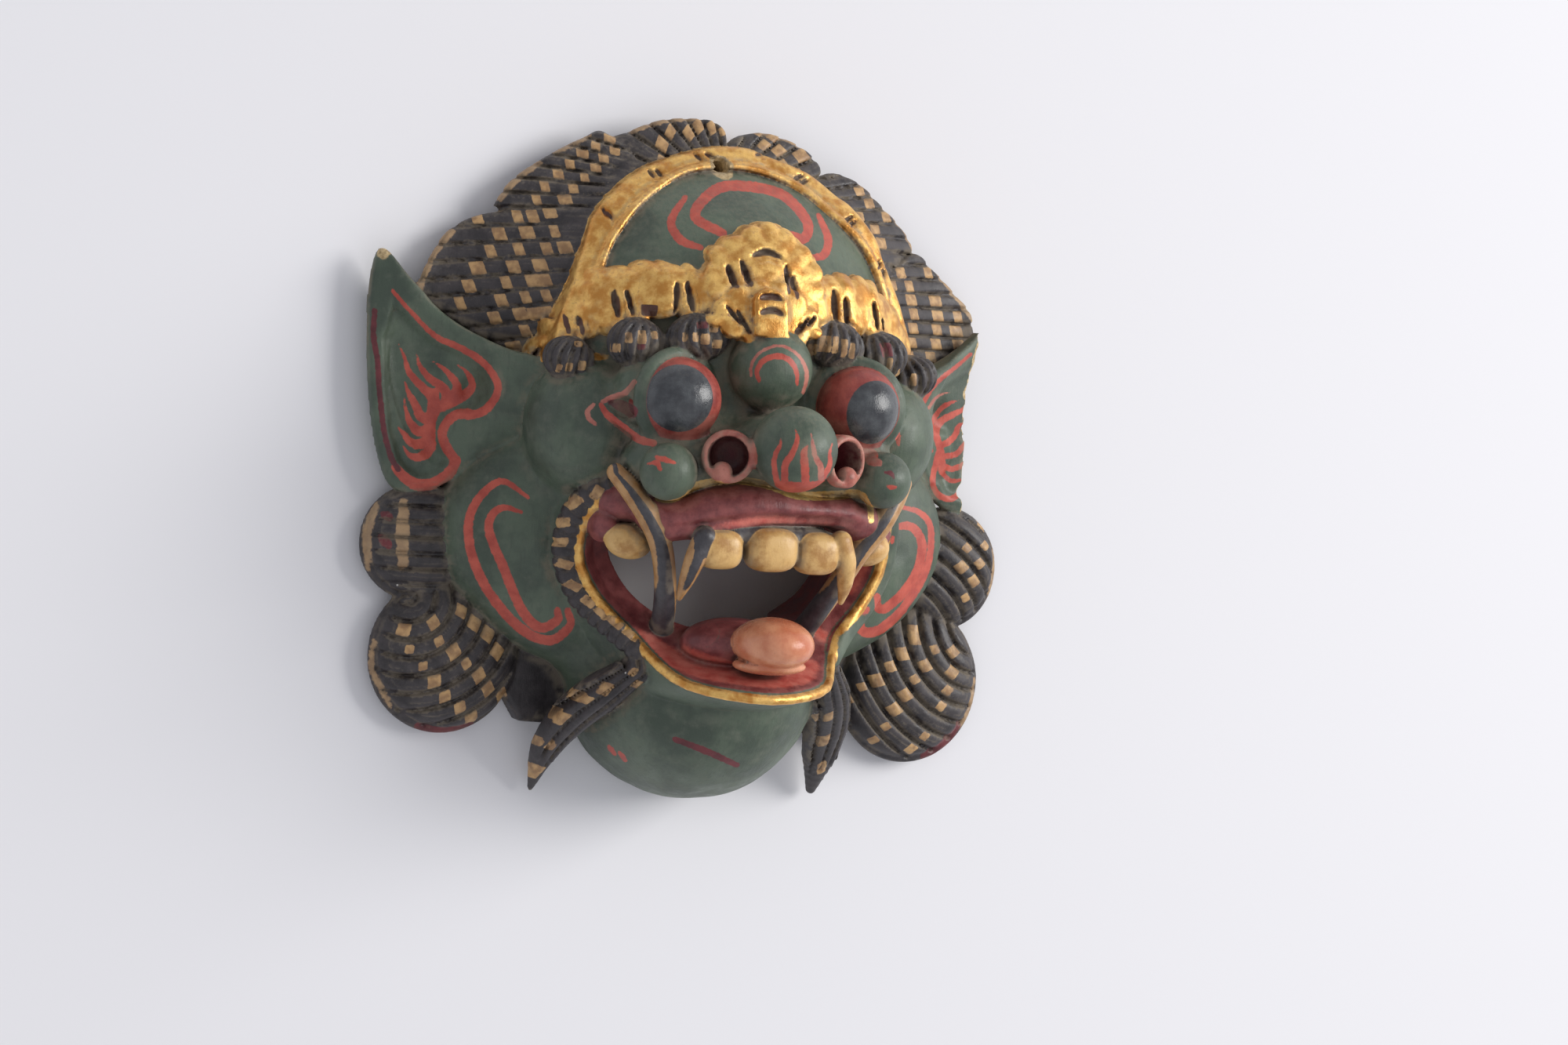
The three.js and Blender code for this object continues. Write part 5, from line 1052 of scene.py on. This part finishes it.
# scale of hollows and ridges, from the distance field just off the surface
hollow = np.clip(1 - field_at(D, P + NV * 1.1) / 1.1, -1, 1)
wide_hollow = np.clip(1 - field_at(D, P + NV * 4.0) / 4.0, -1, 1)
ridge = np.clip(1 + field_at(D, P - NV * 1.1) / 1.1, -1, 1)
packs = {
    "reg_a": (region["dark"], region["gilt"], region["mouth"]),
    "reg_b": (region["ivory"], region["tongue"], region["eye"]),
    "reg_c": (region["tusk"], region["bare"], paint["iris"]),
    "pnt_a": (paint["red"], paint["rose"], paint["wine"]),
    "pnt_b": (paint["ochre"], paint["tan"], paint["crimson"]),
    "pnt_c": (paint["rimgold"], paint["slit"], paint["core"]),
    "pnt_d": (paint["raw"], hollow, wide_hollow),
    "pnt_e": (ridge, own["face"], region["face"]),
}

# ------------------------------------------------------------------ pieces of the surface, each under 200,000 triangles
back_point = np.bincount(group, plain.astype(float), minlength=len(P)) > 0
back_face = back_point[tris].all(1)
front = tris[~back_face]
order = np.argsort(P[front].mean(1)[:, 1], kind="stable")
shares = int(np.ceil(len(front) / 185000))
parts = [("mask_front_%d" % (i + 1), front[o]) for i, o in enumerate(np.array_split(order, shares))] + [("mask_back", tris[back_face])]


# ------------------------------------------------------------------ painted wood
mat = bpy.data.materials.new("painted_wood")
mat.use_nodes = True
nodes, links = mat.node_tree.nodes, mat.node_tree.links
shader = nodes["Principled BSDF"]


def plug(socket, v):
    if isinstance(v, bpy.types.NodeSocket):
        links.new(v, socket)
    elif isinstance(v, tuple):
        socket.default_value = (*v, 1.0) if len(v) == 3 and socket.type == "RGBA" else v
    else:
        socket.default_value = v


def m(op, a, b=None, c=None, clamp=False):
    n = nodes.new("ShaderNodeMath")
    n.operation, n.use_clamp = op, clamp
    for i, v in enumerate((a, b, c)):
        if v is not None:
            plug(n.inputs[i], v)
    return n.outputs[0]


def mix(f, a, b, mode="MIX"):
    n = nodes.new("ShaderNodeMix")
    n.data_type, n.blend_type = "RGBA", mode
    plug(n.inputs[0], f)
    plug(n.inputs[6], a)
    plug(n.inputs[7], b)
    return n.outputs[2]


def ramp(v, lo, hi, a=0.0, b=1.0):
    n = nodes.new("ShaderNodeMapRange")
    n.interpolation_type = "SMOOTHSTEP"
    for i, q in enumerate((v, lo, hi, a, b)):
        plug(n.inputs[i], q)
    return n.outputs[0]


def three(name):
    a = nodes.new("ShaderNodeAttribute")
    a.attribute_name = name
    s = nodes.new("ShaderNodeSeparateXYZ")
    links.new(a.outputs["Vector"], s.inputs[0])
    return s.outputs[0], s.outputs[1], s.outputs[2]


place = nodes.new("ShaderNodeTexCoord").outputs["Object"]


def scaled(x, y=None, z=None):
    n = nodes.new("ShaderNodeVectorMath")
    n.operation = "MULTIPLY"
    links.new(place, n.inputs[0])
    n.inputs[1].default_value = (x * 1000, (y if y else x) * 1000, (z if z else x) * 1000)
    return n.outputs[0]


def noise(scale, detail=2.0, rough=0.5, stretch=None):
    """0..1 noise; scale is in features for each millimetre"""
    n = nodes.new("ShaderNodeTexNoise")
    links.new(scaled(*(stretch or (scale, scale, scale))), n.inputs["Vector"])
    n.inputs["Scale"].default_value = 1.0
    n.inputs["Detail"].default_value = detail
    n.inputs["Roughness"].default_value = rough
    return n.outputs["Fac"]


r_dark, r_gilt, r_mouth = three("reg_a")
r_ivory, r_tongue, r_eye = three("reg_b")
r_tusk, r_bare, p_iris = three("reg_c")
p_red, p_rose, p_wine = three("pnt_a")
p_ochre, p_tan, p_crimson = three("pnt_b")
p_rim, p_slit, p_core = three("pnt_c")
p_raw, hollow_s, wide_s = three("pnt_d")
ridge_s, _, r_face = three("pnt_e")

broad, middle, fine, speck = noise(0.05, 4, 0.6), noise(0.22, 5, 0.6), noise(0.8, 5, 0.65), noise(2.2, 3, 0.6)
streak = noise(0, 4, 0.6, (0.9, 0.12, 0.5))
wob = m("MULTIPLY_ADD", fine, 0.9, -0.45)


def inside(d, soft=0.16, w=1.0, push=0.0):
    """1 inside a painted shape, with an uneven hand-painted edge"""
    return ramp(m("ADD", d, m("MULTIPLY_ADD", wob, w, push)), -soft, soft, 1.0, 0.0)


def tone(a, b, v=None, lo=0.3, hi=0.7):
    return mix(ramp(v or middle, lo, hi), a, b)


def both(a, b):
    return m("MULTIPLY", a, b)


GREEN = tone((0.052, 0.074, 0.052), (0.098, 0.132, 0.090), broad, 0.35, 0.62)
GREEN = mix(both(ramp(middle, 0.45, 0.8), 0.55), GREEN, (0.150, 0.165, 0.125))
GREEN = mix(both(ramp(streak, 0.5, 0.75), 0.35), GREEN, (0.044, 0.054, 0.042))
DARK = tone((0.025, 0.021, 0.023), (0.060, 0.051, 0.053))
RED = tone((0.38, 0.052, 0.034), (0.56, 0.105, 0.068))
ROSE = tone((0.36, 0.095, 0.070), (0.52, 0.200, 0.150))
WINE = tone((0.085, 0.014, 0.018), (0.17, 0.030, 0.036))
OCHRE = tone((0.31, 0.175, 0.080), (0.54, 0.33, 0.145), noise(0.35, 3, 0.5), 0.35, 0.65)
TAN = tone((0.30, 0.19, 0.105), (0.46, 0.30, 0.16))
MOUTH = tone((0.150, 0.032, 0.034), (0.30, 0.078, 0.074))
CRIMSON = tone((0.48, 0.080, 0.062), (0.66, 0.18, 0.135))
IVORY = tone((0.44, 0.225, 0.065), (0.70, 0.44, 0.165), noise(0.18, 4, 0.6), 0.32, 0.6)
TONGUE = tone((0.55, 0.170, 0.085), (0.76, 0.34, 0.19), noise(0.14, 3, 0.5))
BALL = tone((0.24, 0.036, 0.030), (0.42, 0.085, 0.060))
IRIS = tone((0.040, 0.042, 0.048), (0.085, 0.092, 0.098))
HORN = tone((0.36, 0.18, 0.065), (0.54, 0.31, 0.13))
CORE = tone((0.040, 0.038, 0.044), (0.075, 0.072, 0.080))
WOOD = tone((0.26, 0.165, 0.085), (0.42, 0.29, 0.16), noise(0, 4, 0.6, (0.5, 0.05, 0.5)), 0.3, 0.7)
worn = ramp(m("ADD", m("MULTIPLY", hollow_s, 0.30), m("MULTIPLY_ADD", fine, 0.55, m("MULTIPLY", middle, 0.45))), 0.55, 0.78)
GILT = mix(worn, tone((0.58, 0.26, 0.055), (0.92, 0.58, 0.18), middle, 0.35, 0.65), (0.28, 0.095, 0.040))
RIM = mix(ramp(fine, 0.52, 0.72), tone((0.62, 0.36, 0.10), (0.85, 0.60, 0.22)), (0.26, 0.13, 0.07))

col = GREEN
col = mix(inside(p_red), col, RED)
col = mix(both(inside(p_rose), ramp(middle, 0.2, 0.42, 0.55, 1.0)), col, ROSE)
is_dark = inside(r_dark, 0.2, 0.6)
col = mix(is_dark, col, DARK)
col = mix(both(inside(p_tan, 0.25, 1.6), is_dark), col, TAN)
col = mix(both(inside(p_ochre, 0.13, 0.8), is_dark), col, OCHRE)
in_wine = inside(p_wine)
is_gilt = inside(r_gilt, 0.2, 0.8)
is_mouth = inside(r_mouth, 0.2, 0.5)
is_ivory = inside(r_ivory, 0.2, 0.3)
is_tongue = inside(r_tongue, 0.25, 0.5)
is_eye = inside(r_eye, 0.25, 0.5)
is_tusk = inside(r_tusk, 0.2, 0.3)
is_bare = inside(r_bare, 0.3, 0.8)
col = mix(is_eye, col, BALL)
in_iris = both(inside(p_iris, 0.2, 0.5), is_eye)
col = mix(in_iris, col, IRIS)
col = mix(in_wine, col, WINE)
col = mix(is_gilt, col, GILT)
in_slit = both(inside(p_slit, 0.14, 0.25), is_gilt)
col = mix(in_slit, col, (0.085, 0.030, 0.018))
col = mix(is_mouth, col, MOUTH)
col = mix(both(inside(p_crimson, 0.9, 2.2), is_mouth), col, CRIMSON)
col = mix(is_tongue, col, TONGUE)
col = mix(is_ivory, col, IVORY)
col = mix(is_tusk, col, HORN)
col = mix(both(inside(p_core, 0.15, 0.7), is_tusk), col, CORE)
in_rim = both(inside(p_rim, 0.15, 0.7), ramp(r_face, -6.0, -4.0, 0.0, 1.0))
col = mix(in_rim, col, RIM)
col = mix(is_bare, col, WOOD)
in_raw = inside(p_raw, 0.25, 1.6)
col = mix(in_raw, col, mix(ramp(fine, 0.35, 0.65), (0.34, 0.24, 0.12), (0.66, 0.50, 0.27)))

# wear, dust, grime, and painted shade in the hollows
rub = both(ramp(ridge_s, 0.30, 0.75), ramp(middle, 0.40, 0.62))
rub = both(rub, m("SUBTRACT", 1.0, m("MAXIMUM", is_bare, m("MAXIMUM", is_eye, is_ivory)), clamp=True))
col = mix(both(rub, 0.45), col, (0.30, 0.245, 0.17))
# near black mixed into the tight hollows: painted shade there, together with the grime that gathers in them
hollow_grime_and_shade = both(ramp(hollow_s, 0.18, 0.7), 0.62)
col = mix(hollow_grime_and_shade, col, (0.030, 0.022, 0.020))
geo = nodes.new("ShaderNodeNewGeometry")
sep = nodes.new("ShaderNodeSeparateXYZ")
links.new(geo.outputs["Normal"], sep.inputs[0])
lie = ramp(sep.outputs[1], 0.25, 0.95)
dust = m("ADD", both(ramp(wide_s, 0.10, 0.60), ramp(middle, 0.34, 0.60)), both(lie, ramp(fine, 0.4, 0.7, 0.0, 0.5)), clamp=True)
dust = both(dust, m("SUBTRACT", 1.0, m("MAXIMUM", m("MAXIMUM", both(is_mouth, 0.75), is_tongue), m("MAXIMUM", is_bare, both(is_eye, 0.6))), clamp=True))
col = mix(both(dust, 0.50), col, (0.27, 0.225, 0.165))
col = mix(both(ramp(speck, 0.62, 0.80), 0.10), col, (0.5, 0.47, 0.42))
col = mix(both(ramp(speck, 0.42, 0.22), 0.22), col, (0.02, 0.018, 0.018))
dots = nodes.new("ShaderNodeTexVoronoi")
dots.inputs["Scale"].default_value = 1.0
links.new(scaled(0.06), dots.inputs["Vector"])
col = mix(both(ramp(dots.outputs["Distance"], 0.022, 0.012), 0.8), col, (0.7, 0.68, 0.64))
plug(shader.inputs["Base Color"], col)

gold_on = m("MAXIMUM", both(is_gilt, m("SUBTRACT", 1.0, m("MAXIMUM", worn, in_slit), clamp=True)), both(in_rim, 0.7))
plug(shader.inputs["Metallic"], both(both(gold_on, m("SUBTRACT", 1.0, both(dust, 0.8))), 0.72))
gloss = m("MAXIMUM", in_iris, is_tongue)
rough = ramp(middle, 0.3, 0.7, 0.40, 0.58)
rough = m("SUBTRACT", rough, both(gloss, 0.26))
rough = m("SUBTRACT", rough, both(m("MAXIMUM", is_ivory, is_tusk), 0.10))
rough = m("SUBTRACT", rough, both(gold_on, 0.10))
rough = m("ADD", rough, both(m("MAXIMUM", dust, m("MAXIMUM", is_bare, in_raw)), 0.28), clamp=True)
plug(shader.inputs["Roughness"], rough)
shader.inputs["Specular IOR Level"].default_value = 0.5
bump = nodes.new("ShaderNodeBump")
bump.inputs["Strength"].default_value = 0.35
bump.inputs["Distance"].default_value = 0.0003
plug(bump.inputs["Height"], m("ADD", m("MULTIPLY", fine, 0.7), m("MULTIPLY_ADD", streak, 0.8, m("MULTIPLY", speck, 0.35))))
links.new(bump.outputs[0], shader.inputs["Normal"])

# ------------------------------------------------------------------ meshes
metres = (P + SHIFT) / 1000
for name, faces in parts:
    used, idx = np.unique(faces, return_inverse=True)
    idx = idx.reshape(-1, 3)
    me = bpy.data.meshes.new(name)
    me.vertices.add(len(used))
    me.vertices.foreach_set("co", metres[used].astype(np.float32).ravel())
    me.loops.add(idx.size)
    me.loops.foreach_set("vertex_index", idx.astype(np.int32).ravel())
    me.polygons.add(len(idx))
    me.polygons.foreach_set("loop_start", (np.arange(len(idx)) * 3).astype(np.int32))
    me.update(calc_edges=True)
    me.shade_smooth()
    for key_, values in packs.items():
        at = me.attributes.new(key_, "FLOAT_VECTOR", "POINT")
        at.data.foreach_set("vector", np.stack([v[used] for v in values], 1).astype(np.float32).ravel())
    me.normals_split_custom_set_from_vertices(NV[used].tolist())
    me.materials.append(mat)
    ob = bpy.data.objects.new(name, me)
    bpy.context.scene.collection.objects.link(ob)
    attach(ob, "root")
    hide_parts("mask")
    print(name, len(idx))

# ------------------------------------------------------------------ floor, light, camera
floor = bpy.data.meshes.new("floor")
floor.from_pydata([(-4, -4, 0), (4, -4, 0), (4, 4, 0), (-4, 4, 0)], [], [(0, 1, 2, 3)])
paper = bpy.data.materials.new("pale_floor")
paper.use_nodes = True
base = paper.node_tree.nodes["Principled BSDF"]
base.inputs["Base Color"].default_value = (0.84, 0.835, 0.86, 1)
base.inputs["Roughness"].default_value = 0.85
floor.materials.append(paper)
ground = bpy.data.objects.new("floor", floor)
bpy.context.scene.collection.objects.link(ground)

world = bpy.data.worlds.new("studio")
bpy.context.scene.world = world
world.use_nodes = True
world.node_tree.nodes["Background"].inputs[0].default_value = (0.93, 0.94, 1.0, 1)
world.node_tree.nodes["Background"].inputs[1].default_value = 0.53


def area(name, towards, far, size, power, colour=(1, 1, 1)):
    d = Vector(towards).normalized()
    l = bpy.data.lights.new(name, "AREA")
    l.shape, l.size, l.size_y, l.energy, l.color = "RECTANGLE", size[0], size[1], power, colour
    o = bpy.data.objects.new(name, l)
    o.location = Vector((0, 0, 0.04)) + d * far
    o.rotation_euler = d.to_track_quat("Z", "Y").to_euler()
    bpy.context.scene.collection.objects.link(o)


area("key", (0.74, 0.26, 0.53), 2.6, (1.3, 1.6), 58.0, (1.0, 0.985, 0.96))
area("fill", (-0.1, -0.5, 0.9), 2.0, (1.6, 1.6), 2.2, (0.95, 0.97, 1.0))

psi, pitch, roll, far = math.radians(22.5), math.radians(3.3), math.radians(3.4), 1040
right = np.array([math.cos(psi), 0, math.sin(psi)])
back = np.array([-math.sin(psi) * math.cos(pitch), math.sin(pitch), math.cos(psi) * math.cos(pitch)])
high = np.cross(back, right)
r2, u2 = math.cos(roll) * right + math.sin(roll) * high, -math.sin(roll) * right + math.cos(roll) * high
eye = (far * back + 29.5 * r2 - 7.6 * u2 + SHIFT) / 1000
cam = bpy.data.objects.new("camera", bpy.data.cameras.new("camera"))
bpy.context.scene.collection.objects.link(cam)
cam.data.sensor_width, cam.data.lens = 36, 80.64
cam.matrix_world = Matrix([[r2[i], u2[i], back[i], eye[i]] for i in range(3)] + [[0, 0, 0, 1]])
bpy.context.scene.camera = cam
bpy.context.scene.view_settings.view_transform = "Standard"

bpy.context.view_layer.update()
